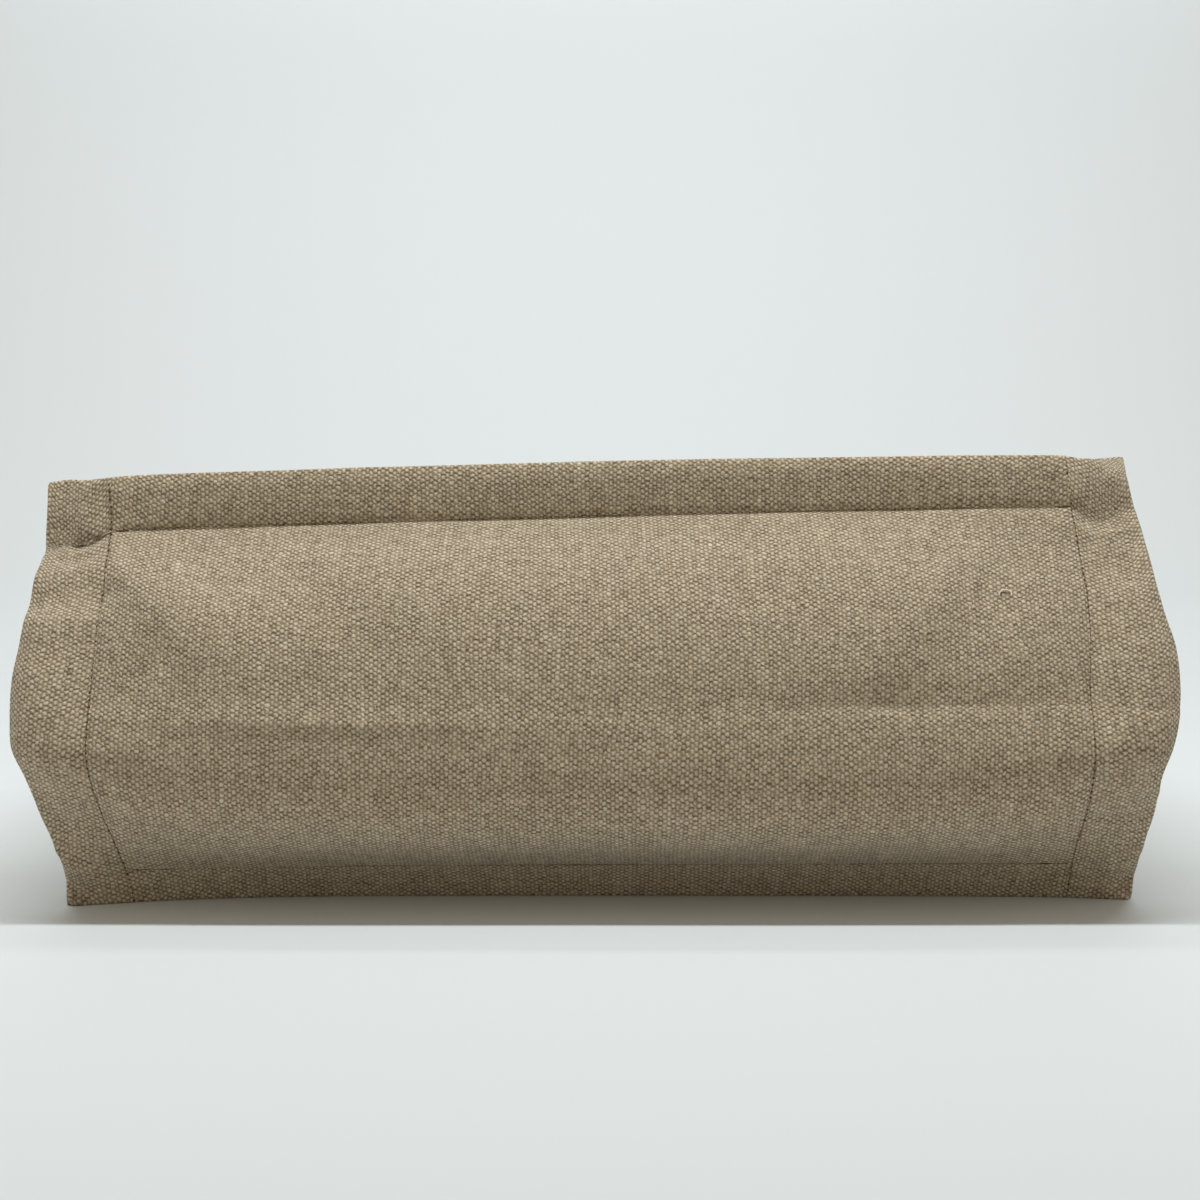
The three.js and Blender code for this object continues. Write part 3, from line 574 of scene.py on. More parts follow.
def sheet_piece(name, grid, inner, outer, material):
    """A closed sheet of cloth on a grid of points, with rounded edges and its weave's coordinates.
    inner and outer are how far it reaches on each side of the grid, in millimetres."""
    rows, columns = grid.shape[:2]
    there = ~np.isnan(grid).any(-1)
    whole = there[:-1, :-1] & there[1:, :-1] & there[:-1, 1:] & there[1:, 1:]
    used = np.zeros((rows, columns), bool)
    for down, over in ((0, 0), (0, 1), (1, 0), (1, 1)):
        used[down : rows - 1 + down, over : columns - 1 + over] |= whole
    count = int(used.sum())
    number = np.full((rows, columns), -1)
    number[used] = np.arange(count)
    normals = grid_normals(grid)

    def one_face(reach):
        place = (grid + normals * np.broadcast_to(reach, (rows, columns))[..., None])[used]
        place[:, 2] = np.maximum(place[:, 2], 0)
        return place

    tops, lows = one_face(outer), one_face(np.negative(inner))
    flat = cloth_coordinates(grid)[used]
    vertices, spots = [tops, lows], [flat, flat]
    i, j = np.nonzero(whole)
    quads = np.stack([number[i, j], number[i + 1, j], number[i + 1, j + 1], number[i, j + 1]], 1)
    faces = [quads, quads[:, ::-1] + count]

    # Where the sheet ends, a rounded rim of three strips joins its two faces
    padded = np.pad(whole, 1)
    starts, stops = [], []
    for down, over, first, second in CELL_SIDES:
        i, j = np.nonzero(whole & ~padded[1 + down : rows + down, 1 + over : columns + over])
        starts.append(number[i + first[0], j + first[1]])
        stops.append(number[i + second[0], j + second[1]])
    start, stop = np.concatenate(starts), np.concatenate(stops)
    outward = np.zeros_like(tops)
    side = unit(np.cross(tops[stop] - tops[start], (tops - lows)[start]))
    np.add.at(outward, start, side)
    np.add.at(outward, stop, side)
    ends = np.unique(np.concatenate([start, stop]))
    outward = unit(outward[ends])
    thick = np.linalg.norm(tops[ends] - lows[ends], axis=1, keepdims=True)
    place = np.full(count, -1)
    place[ends] = np.arange(len(ends))
    previous = (start, stop)
    total = 2 * count
    for share in (0.25, 0.75):
        bulge = RIM_BULGE * math.sin(math.pi * share)
        vertices.append(lerp(tops[ends], lows[ends], share) + outward * thick * bulge)
        spots.append(flat[ends])
        current = (total + place[start], total + place[stop])
        faces.append(np.stack([previous[0], previous[1], current[1], current[0]], 1))
        previous = current
        total += len(ends)
    faces.append(np.stack([previous[0], previous[1], stop + count, start + count], 1))
    faces = np.concatenate(faces).tolist()
    piece = mesh_piece(name, np.concatenate(vertices), faces, [material], np.concatenate(spots))
    piece.data.validate()
    return piece


def tube_faces(count, turns):
    """Faces of a closed tube through count rings of as many points each"""
    ring, side = np.meshgrid(np.arange(count - 1) * turns, np.arange(turns), indexing="ij")
    after = (side + 1) % turns
    quads = np.stack([ring + side, ring + after, ring + turns + after, ring + turns + side], -1)
    caps = [list(range(turns))[::-1], list(range((count - 1) * turns, count * turns))]
    return quads.reshape(-1, 4).tolist() + caps


def added(name, data):
    """A new object in the scene for a mesh, a light or a camera"""
    thing = bpy.data.objects.new(name, data)
    bpy.context.scene.collection.objects.link(thing)
    return thing


def mesh_piece(name, vertices, faces, materials, spots=None, indices=None):
    """A mesh object in the row frame from points in millimetres on the bag. spots are each point's
    place on the flat cloth, and indices each face's material."""
    mesh = bpy.data.meshes.new(name)
    mesh.from_pydata(((vertices + SHIFT) * MM).tolist(), [], faces)
    if spots is not None:
        layer = mesh.uv_layers.new(name="cloth")
        corners = np.empty(len(mesh.loops), np.int32)
        mesh.loops.foreach_get("vertex_index", corners)
        layer.data.foreach_set("uv", spots[corners].astype(np.float32).ravel())
    for material in materials:
        mesh.materials.append(material)
    if indices is not None:
        mesh.polygons.foreach_set("material_index", indices)
    mesh.shade_smooth()
    return added(name, mesh)


# Materials
class Recipe:
    """Short names for the nodes of one material"""

    def __init__(self, name, roughness, sheen):
        self.material = bpy.data.materials.new(name)
        self.material.use_nodes = True
        self.tree = self.material.node_tree
        self.shader = self.tree.nodes["Principled BSDF"].inputs
        self.shader["Roughness"].default_value = roughness
        self.shader["Specular IOR Level"].default_value = 0.15
        self.shader["Sheen Weight"].default_value = sheen
        self.shader["Sheen Roughness"].default_value = 0.5

    def put(self, socket, value):
        if isinstance(value, bpy.types.NodeSocket):
            self.tree.links.new(value, socket)
        else:
            socket.default_value = value

    def node(self, kind, inputs, **settings):
        """A new node with its settings, and its inputs by their names or places"""
        node = self.tree.nodes.new("ShaderNode" + kind)
        for name, value in settings.items():
            setattr(node, name, value)
        for name, value in inputs.items():
            self.put(node.inputs[name], value)
        return node

    def math(self, operation, *values, clamp=False):
        inputs = dict(enumerate(values))
        return self.node("Math", inputs, operation=operation, use_clamp=clamp).outputs[0]

    def vector(self, *values):
        return self.node("CombineXYZ", dict(enumerate(values))).outputs[0]

    def noise(self, vector, scale, detail=2.0):
        return self.node("TexNoise", {"Vector": vector, "Scale": scale, "Detail": detail}).outputs["Fac"]

    def mix(self, share, a, b, blend="MIX"):
        inputs = {"Factor": share, 6: a, 7: b}
        return self.node("Mix", inputs, data_type="RGBA", blend_type=blend).outputs[2]

    def ramp(self, value, *stops):
        node = self.node("ValToRGB", {0: value})
        elements = node.color_ramp.elements
        while len(elements) < len(stops):
            elements.new(0.5)
        for element, (place, color) in zip(elements, stops):
            element.position = place
            element.color = color
        return node.outputs[0]

    def finish(self, color, height=None, distance=0.0):
        self.put(self.shader["Base Color"], color)
        if height is not None:
            bump = self.node("Bump", {"Strength": 1.0, "Distance": distance, "Height": height})
            self.put(self.shader["Normal"], bump.outputs[0])
        return self.material


def srgb(red, green, blue):
    """A colour as seen on a screen, from 0 to 255, for a material"""

    def linear(value):
        value /= 255
        return value / 12.92 if value <= 0.04045 else ((value + 0.055) / 1.055) ** 2.4

    return (linear(red), linear(green), linear(blue), 1.0)


# The weave, with its yarns' distances and how much the grains lean, fill out and stand up
UPRIGHT_PITCH = 1.57 * MM
LEVEL_PITCH = 1.02 * MM
GRAIN_LEAN = 0.14
GRAIN_FULLNESS = 0.55
COLUMN_GAP = 0.42
COLUMN_LEVEL = 0.55
WEAVE_DEPTH = 0.00038
# How the yarns bow slowly and stray from each other: turns a metre, and how far in yarns
UPRIGHT_BOW, UPRIGHT_STRAY = (9, 5), (420, 1.3)
LEVEL_BOW, LEVEL_STRAY = (8, 9), (420, 1.6)
# How fast a yarn's shade changes along it, and steps that keep the yarns' shades apart
ALONG_YARN = 60
UPRIGHT_APART, LEVEL_APART = 7.31, 5.17
PATCHES = 24
FIBRES = 5200
# Where slubs and flecks begin, and how sharply
SLUBS, FLECKS = (0.17, 8.0), (0.93, 14.0)
RELIEF = {"grain": 0.14, "yarn": 0.3, "fibre": 0.2}
TONES = {"yarn": 0.7, "grain": 0.26, "patch": 0.12, "fibre": 0.2, "slub": 0.26}
# Colours by the weave's height, partly the yarns' own tones: the dark browns low down are painted shade in
# the gaps between grains
WEAVE_COLORS_WITH_HOLLOW_SHADE = ((0.10, 98, 74, 48), (0.36, 146, 123, 93), (0.66, 188, 172, 144), (0.98, 214, 202, 179))
FLECK_COLOR = (150, 112, 66)
FLECK_SHARE = 0.35
# Sewing thread: turns of its twist, the painted shade in the twist's grooves, and the grooves' depth
TWISTS = 2600
TWIST_SHADE = (0.72, 0.7, 0.66)
TWIST_DEPTH = 0.00012


def canvas(name, shade):
    """Unbleached plain-weave canvas: rounded grains of yarn, each half a step from its neighbours, with
    painted shade in the gaps between them
    """
    recipe = Recipe(name, roughness=0.92, sheen=0.2)
    node, vector = recipe.math, recipe.vector
    cloth = recipe.node("UVMap", {}, uv_map="cloth").outputs[0]
    u, v, _ = recipe.node("SeparateXYZ", {0: cloth}).outputs

    def centred(value, middle=0.5):
        return node("SUBTRACT", value, middle)

    def wander(shift, scale, amount=1.0, detail=2.0):
        return node("MULTIPLY", centred(recipe.noise(vector(u, v, shift), scale, detail)), amount)

    def yarn_place(length, pitch, bow, stray):
        return node("ADD", node("DIVIDE", length, pitch), node("ADD", bow, stray))

    # The yarns bow slowly over the cloth and lie a little unevenly beside each other
    across = yarn_place(u, UPRIGHT_PITCH, wander(0, *UPRIGHT_BOW), wander(2, *UPRIGHT_STRAY))
    up = yarn_place(v, LEVEL_PITCH, wander(4, *LEVEL_BOW), wander(6, *LEVEL_STRAY))
    lean = node("MULTIPLY", centred(node("FRACT", up)), GRAIN_LEAN)
    wave_u = node("SINE", node("MULTIPLY", node("ADD", across, lean), math.pi))
    wave_v = node("SINE", node("MULTIPLY", up, math.pi))
    wave = node("MULTIPLY", wave_u, wave_v)
    grain = node("POWER", node("MULTIPLY_ADD", wave, 0.5, 0.5, clamp=True), GRAIN_FULLNESS)
    # A gap between neighbouring columns of grains makes them round
    column = node("SUBTRACT", node("MULTIPLY", wave_u, wave_u), COLUMN_LEVEL)
    grain = node("MULTIPLY_ADD", column, COLUMN_GAP, grain)

    # Each yarn has its own shade, changing slowly along it, and each grain its own again
    upright_yarn, level_yarn = node("FLOOR", across), node("FLOOR", up)
    along_upright = vector(node("MULTIPLY", upright_yarn, UPRIGHT_APART), node("MULTIPLY", v, ALONG_YARN))
    along_level = vector(node("MULTIPLY", u, ALONG_YARN), node("MULTIPLY", level_yarn, LEVEL_APART), 9.0)
    upright_tone = centred(recipe.noise(along_upright, 1.0, 3.0))
    level_tone = centred(recipe.noise(along_level, 1.0, 3.0))
    single = recipe.node("TexWhiteNoise", {"Vector": vector(upright_yarn, level_yarn)}).outputs["Value"]
    fleck = node("MULTIPLY", centred(single, FLECKS[0]), FLECKS[1], clamp=True)
    parts = {
        "grain": centred(single),
        "yarn": node("ADD", node("MULTIPLY", upright_tone, 0.5), node("MULTIPLY", level_tone, 0.5)),
        "patch": wander(11, PATCHES, detail=3.0),
        "fibre": wander(13, FIBRES),
        "slub": node("MULTIPLY", centred(upright_tone, SLUBS[0]), SLUBS[1], clamp=True),
    }
    height, light = grain, 1.0
    for part, amount in RELIEF.items():
        height = node("MULTIPLY_ADD", parts[part], amount, height)
    for part, amount in TONES.items():
        light = node("MULTIPLY_ADD", parts[part], amount, light)
    # The colour follows the height, which paints shade into the gaps between grains
    yarn = recipe.ramp(height, *[(at, srgb(*np.multiply(color, shade))) for at, *color in WEAVE_COLORS_WITH_HOLLOW_SHADE])
    color = recipe.mix(1.0, yarn, vector(light, light, light), "MULTIPLY")
    color = recipe.mix(node("MULTIPLY", fleck, FLECK_SHARE), color, srgb(*FLECK_COLOR))
    return recipe.finish(color, height, WEAVE_DEPTH)


def thread(name, *color):
    """Spun sewing thread, with painted shade in the grooves of its twist, where its bump is low"""
    recipe = Recipe(name, roughness=0.85, sheen=0.1)
    place = recipe.node("TexCoord", {}).outputs["Object"]
    twist = recipe.noise(place, TWISTS)
    groove_shade = srgb(*np.multiply(color, TWIST_SHADE))
    return recipe.finish(recipe.mix(twist, groove_shade, srgb(*color)), twist, TWIST_DEPTH)


CANVAS = canvas("greige_canvas", 0.95)
STRAP_CANVAS = canvas("strap_canvas", 0.935)
THREAD = thread("beige_thread", 150, 130, 102)
# The dark of needle holes and slits: painted shade
HOLE_SHADE = thread("needle_hole_shade", 100, 74, 49)
LINT = thread("pale_fibre", 255, 250, 240)


# The five panels
# Steps between the points of a grid, over a panel and over its flanges, and the base's stretches
# along its cloth: from, to and the step between points
BASE_STEPS = (1.75, 1.5)
HIDDEN_STEPS = (2.8, 2.0)
FINE_STEP = 0.8
HEM_STEP = 2.5
BESIDE_SEAM = 4
FLANGE_END = FLANGE - CLOTH
HIDDEN_FLANGE_END = FLANGE - 2
BASE_RUNS = (
    (1.8, FLOOR_BEND, 1.8),
    (FLOOR_BEND, LOW_SEAM, 1.4),
    (LOW_SEAM, TOP_SEAM - BESIDE_SEAM, 1.6),
    (TOP_SEAM - BESIDE_SEAM, TOP_SEAM + BESIDE_SEAM, FINE_STEP),
    (TOP_SEAM + BESIDE_SEAM, RIDGE - 1.9, 1.4),
)
# How deep and wide rows of stitching pull the cloth in
UPRIGHT_GROOVE = (0.36, 2.3)
LEVEL_GROOVE = (0.5, 1.5)
FRONT_GROOVE = (0.35, 1.8)
HEM_GROOVE = (0.3, 2)
# How much less they do so over the top flange, and between which runs that begins
FLANGE_EASE = 0.5
FLANGE_EASED = (TOP_SEAM - 2, TOP_SEAM + 6)
# The lower level seam shows higher than the solid's, by a rise and a tilt to the right
LOW_SEAM_RISE = 3.4
LOW_SEAM_TILT = 1.3
# How many waves make cloth uneven, and the lengths that they may have
UNEVEN_WAVES = 14
UNEVEN_LENGTHS = (28, 110)
# Where the front's bend over the ridge passes, as shares of the way back and down
FRONT_BEND = (0.28, 0.72)
# The fold of the back panel's flange under the base, and where its flat part starts
BACK_TURN_RADIUS = 1.8
BACK_TURN = (25, 50, 75, 100, 125, 150, 180)
BACK_FLAT_FROM = 90
# Where a side panel's flanges leave the base, and how they ease round its edges
UPPER_WING_FROM = 9
LOWER_WING_FROM = 48
WING_EASE = 0.7


def across_places(step, flange_step, end):
    """Places across a panel, closer together beside its two rows of stitching"""
    beside = spaced(BASE_HALF - BESIDE_SEAM, BASE_HALF + BESIDE_SEAM, FINE_STEP)
    flange = spaced(BASE_HALF + BESIDE_SEAM, BASE_HALF + end, flange_step)
    middle = spaced(BESIDE_SEAM - BASE_HALF, BASE_HALF - BESIDE_SEAM, step)
    return joined(-flange[::-1], -beside[::-1], middle, beside, flange)


def hem_places(start, step, mouth):
    """Places back to the mouth, with a step where the turned-in hem ends"""
    hem = mouth - HEM_DEPTH
    return joined(spaced(start, hem - 0.4, step), spaced(hem, mouth, HEM_STEP))


def hem_rows(mouth):
    return len(spaced(mouth - HEM_DEPTH, mouth, HEM_STEP))


def doubled_at_hem(grid, across, mouth):
    """How far a panel reaches into the bag from its grid, with the hem's ply between the side seams"""
    reach = np.full(grid.shape[:2], HALF_CLOTH)
    rolled = [np.inf] * ROLL_STEPS
    between = np.abs(np.concatenate([rolled, across, rolled])) < BASE_HALF - 2
    reach[:, -hem_rows(mouth) :] += HEM_PLY * between[:, None]
    return reach


def groove(distance, depth, width):
    """How far a row of stitching pulls the cloth in, by the distance from it"""
    return depth * np.exp(-((distance / width) ** 2))


def uneven(grid, seed, amount):
    """Slight unevenness that all hand-laid cloth has, as a height over the grid"""
    draw = np.random.default_rng(seed)
    x, y = grid[..., 0], grid[..., 1] + grid[..., 2]
    height = np.zeros(x.shape)
    for _ in range(UNEVEN_WAVES):
        length = draw.uniform(*UNEVEN_LENGTHS)
        angle, phase = draw.uniform(0, math.pi), draw.uniform(0, 2 * math.pi)
        wave = x * math.cos(angle) + y * math.sin(angle)
        height += np.sin(wave * 2 * math.pi / length + phase) * length / UNEVEN_LENGTHS[1]
    return height * amount / 3


def shaped(grid, height):
    return grid + grid_normals(grid) * height[..., None]


def flange_ease(run):
    """The upright stitching pulls the cloth in less where it crosses the top flange"""
    return 1 - FLANGE_EASE * smoothstep(run, *FLANGE_EASED)


def low_seam_line(across):
    """Run at which the lower level seam of the base shows"""
    return LOW_SEAM + LOW_SEAM_RISE + LOW_SEAM_TILT * across / BASE_HALF


def base_cloth():
    across = across_places(*BASE_STEPS, FLANGE_END)
    run = joined(*[spaced(*stretch) for stretch in BASE_RUNS])
    across, run = np.meshgrid(across, run, indexing="ij")
    grid = base_layer(across, run, HALF_CLOTH)
    upright = groove(np.abs(across) - BASE_HALF, *UPRIGHT_GROOVE) * flange_ease(run)
    low, top = (groove(run - line, *LEVEL_GROOVE) for line in (low_seam_line(across), TOP_SEAM))
    level = np.maximum(low, top) * (np.abs(across) < BASE_HALF + 1)
    held = smoothstep(run, FLOOR_BEND, LOW_SEAM)
    height = uneven(grid, seed=3, amount=0.22) * held - np.maximum(upright, level)
    grid = roll_edges(shaped(grid, height * held), ALL_EDGES)
    return sheet_piece("base_cloth", grid, HALF_CLOTH, HALF_CLOTH, CANVAS)


def bend_between(start, middle, stop):
    """Points on a smooth bend through a middle point"""
    pull = 2 * middle - (start + stop) / 2
    return [lerp(lerp(start, pull, t), lerp(pull, stop, t), t) for t in (0.2, 0.4, 0.6, 0.8)]


def front_cloth():
    across = across_places(*HIDDEN_STEPS, HIDDEN_FLANGE_END)
    rows = [base_layer(across, run, NEXT_LAYER) for run in spaced(RIDGE - 2, TOP_SEAM + TURN, 2.0)]
    end, after = rows[-1], front_body(across, TURN)
    x = (end[:, 0] + after[:, 0]) / 2
    y, z = (lerp(end[:, k], after[:, k], share) for k, share in zip((1, 2), FRONT_BEND))
    places = hem_places(TURN, 2.6, FRONT_REACH)
    body = [front_body(across, along) for along in places]
    grid = np.stack([*rows, *bend_between(end, points(x, y, z), after), *body], 1)
    lead = grid.shape[1] - len(places)
    pulled = np.tile(groove(np.abs(across) - BASE_HALF, *FRONT_GROOVE)[:, None], grid.shape[1])
    hem_row = groove(places - (FRONT_REACH - HEM_DEPTH + STITCH), *HEM_GROOVE)
    pulled[:, lead:] = np.maximum(pulled[:, lead:], hem_row)
    fade = np.concatenate([np.zeros(lead), smoothstep(places, 10, 40)])
    grid = roll_edges(shaped(grid, pulled - uneven(grid, seed=5, amount=0.5) * fade), BUT_MOUTH, -ROLL)
    inner = doubled_at_hem(grid, across, FRONT_REACH)
    return sheet_piece("front_cloth", grid, HALF_CLOTH, inner, CANVAS)


def back_cloth():
    across = across_places(*HIDDEN_STEPS, HIDDEN_FLANGE_END)
    rows = [base_layer(across, run, NEXT_LAYER) for run in spaced(2, LOW_SEAM - TURN, 2.2)]
    end = rows[-1]
    forward = unit(base_layer(across, LOW_SEAM, NEXT_LAYER) - end)
    inward = base_layer(across, LOW_SEAM - TURN, NEXT_LAYER + 1) - end
    for angle in np.radians(BACK_TURN):
        turned = forward * math.sin(angle) + inward * (1 - math.cos(angle))
        rows.append(end + turned * BACK_TURN_RADIUS)
    top = rows[-1]
    for on, fall in BACK_SLOPE:
        y = top[:, 1] + on
        floor = back_body(across, y)
        rows.append(points(lerp(top[:, 0], floor[:, 0], fall), y, lerp(top[:, 2], floor[:, 2], fall)))
    rows += [back_body(across, y) for y in hem_places(BACK_FLAT_FROM, 2.8, BACK_MOUTH)]
    grid = roll_edges(np.stack(rows, 1), BUT_MOUTH)
    outer = doubled_at_hem(grid, across, BACK_MOUTH)
    return sheet_piece("back_cloth", grid, HALF_CLOTH, outer, CANVAS)


def side_cloth(name, side):
    outers = spaced(BASE_HALF, BASE_HALF + HIDDEN_FLANGE_END, 2.2)[::-1] - BASE_HALF
    runs = spaced(SIDE_TOP, SIDE_LOW, 2.6)
    places = joined(spaced(0, 20, 2), hem_places(20, 3, side.reach))
    body = side.body(*np.meshgrid(runs, places, indexing="ij"))
    lead = np.stack([side.seam(runs, outer) for outer in outers[:-1]], 1)
    turn = side.seam(runs) + [side.sign * WING_EASE, WING_EASE, 0]
    middle = np.concatenate([lead, turn[:, None], body], 1)
    empty = np.full((len(outers), lead.shape[1] + 1, 3), np.nan)

    def wing(edge, shift, skipped):
        rows = []
        for outer in outers:
            row = edge(places, max(outer, WING_EASE))
            if outer < WING_EASE:
                row[..., 2] += shift
            row[places < skipped] = np.nan
            rows.append(row)
        return np.concatenate([empty, np.stack(rows)], 1)

    upper = wing(side.under_front, -WING_EASE, UPPER_WING_FROM)
    lower = wing(side.on_back, WING_EASE, LOWER_WING_FROM)[::-1]
    grid = np.concatenate([upper, middle, lower])
    thin = np.full(grid.shape[:2], HALF_CLOTH)
    thick = thin.copy()
    thick[len(outers) + 1 : -len(outers) - 1, -hem_rows(side.reach) :] += HEM_PLY
    inner, outer = (thick, thin) if side.sign > 0 else (thin, thick)
    return sheet_piece(name, grid, inner, outer, CANVAS)


# Straps
STRAP_SEAM_IN = 3
STRAP_HOLLOW = 0.3
STRAP_SWELL = 0.12
POINTS_A_KNOT = 24


def strap_route(rows, mouth, sewn_height):
    """Centre line, width direction and thickness direction of a whole strap"""
    full = {k: np.concatenate([v, v[:-1][::-1]]) for k, v in rows.items()}
    full["x"] = np.concatenate([rows["x"], -rows["x"][:-1][::-1]])
    above = np.where(full["sewn"] > 0, sewn_height(full["x"], full["out"]), full["above"])
    knots = points(full["x"], mouth + full["out"], above)
    gaps = len(knots) - 1
    place = np.linspace(0, gaps, gaps * POINTS_A_KNOT + 1)
    row = np.minimum(place.astype(int), gaps - 1)
    t = (place - row)[:, None]
    ahead, behind = 2 * knots[-1] - knots[-2], 2 * knots[0] - knots[1]
    p0 = np.vstack([behind, knots])[row]
    p1, p2 = knots[row], knots[row + 1]
    p3 = np.vstack([knots, ahead])[row + 2]
    line = 2 * p1 + (p2 - p0) * t + (2 * p0 - 5 * p1 + 4 * p2 - p3) * t**2
    line = (line + (3 * p1 - p0 - 3 * p2 + p3) * t**3) / 2
    tilt = np.radians(lerp(full["tilt"][row], full["tilt"][row + 1], t[:, 0]))
    rest = STRAP_WIDTH / 2 * np.sin(tilt) + STRAP_THICK / 2 * np.cos(tilt)
    line[:, 2] = np.maximum(line[:, 2], 0) + rest
    heading = unit(np.gradient(line, axis=0))
    level = unit(np.cross(heading, [0, 0, 1]))
    upright = unit(np.cross(level, heading))
    wide = level * np.cos(tilt)[:, None] + upright * np.sin(tilt)[:, None]
    return line, wide, np.cross(wide, heading)


def lengths(line):
    """How far along a line of points each of them is"""
    return np.concatenate([[0], np.cumsum(np.linalg.norm(np.diff(line, axis=0), axis=1))])


def strap_cloth(name, route):
    """A folded strap with rounded edges and a slight hollow along its rows of stitching"""
    line, wide, thick = route
    half_w, half_t = STRAP_WIDTH / 2, STRAP_THICK / 2
    row = half_w - STRAP_SEAM_IN
    face = [(-row - CLOTH, 0), (-row, STRAP_HOLLOW), (-row + CLOTH, 0), (-4, -STRAP_SWELL)]
    top = [(w, half_t - dip) for w, dip in face] + [(-w, half_t - dip) for w, dip in face[::-1]]
    edge = [(half_w - 0.5, half_t * 0.8), (half_w, 0), (half_w - 0.5, -half_t * 0.8)]
    ring = np.array(top + edge + [(-w, -h) for w, h in top + edge])
    vertices = line[:, None] + ring[:, :1] * wide[:, None] + ring[:, 1:] * thick[:, None]
    spots = np.stack(np.broadcast_arrays(lengths(ring), lengths(line)[:, None]), -1) * MM
    faces = tube_faces(len(line), len(ring))
    return mesh_piece(name, vertices.reshape(-1, 3), faces, [STRAP_CANVAS], spots.reshape(-1, 2))


# Stitching
def model_stitch(name, size, segments, rings):
    """One stitch, shaped from a small ball: long, low and a little pointed. Returns its mesh data."""
    bpy.ops.object.select_all(action="DESELECT")
    bpy.ops.mesh.primitive_uv_sphere_add(segments=segments, ring_count=rings, radius=1)
    ball = bpy.context.object
    ball.name = name
    bpy.ops.object.mode_set(mode="EDIT")
    bpy.ops.mesh.select_all(action="SELECT")
    bpy.ops.transform.rotate(value=math.pi / 2, orient_axis="Y", center_override=(0, 0, 0))
    bpy.ops.transform.resize(value=size)
    bpy.ops.object.mode_set(mode="OBJECT")
    corners = np.array([v.co for v in ball.data.vertices])
    faces = [list(p.vertices) for p in ball.data.polygons]
    mesh = ball.data
    bpy.data.objects.remove(ball)
    bpy.data.meshes.remove(mesh)
    return corners, faces


def walk(line, normals, pitch, start):
    """Places every pitch along a line of points: where, which way it runs and which way is out"""
    length = lengths(line)
    stops = np.arange(start, length[-1], pitch)

    def at(place, values):
        return np.stack([np.interp(place, length, column) for column in values.T], 1)

    heading = at(stops + 0.4, line) - at(stops - 0.4, line)
    return at(stops, line), unit(heading), unit(at(stops, normals))


def copies(shape, where, heading, up, sizes=1.0):
    """A small shape repeated along a seam, as points and faces"""
    corners, faces = shape
    sizes = np.broadcast_to(sizes, len(where))[:, None, None]
    side = unit(np.cross(up, heading))
    up = np.cross(heading, side)
    placed = where[:, None] + sizes * (
        corners[None, :, 0, None] * heading[:, None]
        + corners[None, :, 1, None] * side[:, None]
        + corners[None, :, 2, None] * up[:, None]
    )
    found = []
    for k in range(len(where)):
        found += [[c + k * len(corners) for c in face] for face in faces]
    return placed.reshape(-1, 3), found


def sewn(name, seams, slits=()):
    """All the stitches of one piece of cloth, with dark blobs of painted shade in the needle holes between
    them, as one mesh.
    seams are (line of points on the cloth's face, normals there, size of the holes if not 1),
    and slits the gaps where a seam ends."""
    draw = np.random.default_rng(len(name))
    vertices, faces, indices = [np.empty((0, 3))], [], []

    def add(placed, found, index):
        total = sum(len(v) for v in vertices)
        vertices.append(placed)
        faces.extend([c + total for c in face] for face in found)
        indices.extend([index] * len(found))

    for line, normals, *hole_size in seams:
        for shape, offset, sunk, index in SEWN_SHAPES:
            where, heading, up = walk(line, normals, STITCH, STITCH * offset)
            wander = draw.normal(0, STRAY, (len(where), 1))
            where = where + np.cross(up, heading) * wander - up * sunk
            sizes = draw.uniform(*STITCH_SIZES, len(where)) * (hole_size[0] if hole_size and index else 1)
            add(*copies(shape, where, heading, up, sizes), index)
    for line, normals in slits:
        add(*copies(SLIT_SHAPE, line[1:2], unit(line[2:] - line[:1]), normals[1:2]), 1)
    return mesh_piece(name, np.concatenate(vertices), faces, [THREAD, HOLE_SHADE], indices=indices)


def on_surface(surface, a, b, reach, flip=1):
    """A seam's line on one face of a surface, with the normals of that face"""
    a, b = together(a, b)
    step = 0.6
    reach = np.asarray(reach, float)[..., None]
    along_a = surface(a + step, b) - surface(a - step, b)
    along_b = surface(a, b + step) - surface(a, b - step)
    normal = unit(np.cross(along_a, along_b)) * flip
    return surface(a, b) + normal * reach, normal


def outer_face(across, run):
    return base_layer(across, run, 0.0)


def behind_flange(across, run):
    return base_layer(across, run, NEXT_LAYER + HALF_CLOTH)


# Stitches stray a little from their row, and their sizes vary
STRAY = 0.08
STITCH_SIZES = (0.6, 1.15)
SEAM_STEP = 1.5
# How deep rows of stitches and the slits at their ends sink into the base, and their holes' sizes
SUNK = {"upright": 0.26, "top": 0.36, "low": 0.3, "slit": 0.35}
TOP_HOLES = 0.75
LOW_HOLES = 0.85
# Where the level rows of the base end across it
TOP_ENDS = (-183, 183.5)
LOW_ENDS = (-171, 176)
# The loose thread: its place on the base, its turn in degrees, its curl's sizes and its own
LOOSE_AT = (155, 153)
LOOSE_TURN = (-30, 200)
LOOSE_CURL = (1.3, 2.4)
LOOSE_POINTS = 12
LOOSE_HEIGHT = 0.5
LOOSE_RADIUS = 0.28
STITCH_SHAPE = model_stitch("stitch_pattern", (1.15, 0.3, 0.24), segments=6, rings=4)
# The holes here, and the slits below, are dark blobs of painted shade
HOLE_SHAPE = model_stitch("hole_pattern", (0.6, 0.5, 0.16), segments=6, rings=4)
SLIT_SHAPE = model_stitch("slit_pattern", (2.8, 0.36, 0.2), segments=8, rings=4)
# What repeats along a seam: the shape, where in each step it lies, how deep, and its material
SEWN_SHAPES = ((STITCH_SHAPE, 0.5, 0.12, 0), (HOLE_SHAPE, 0.0, 0.06, 1))

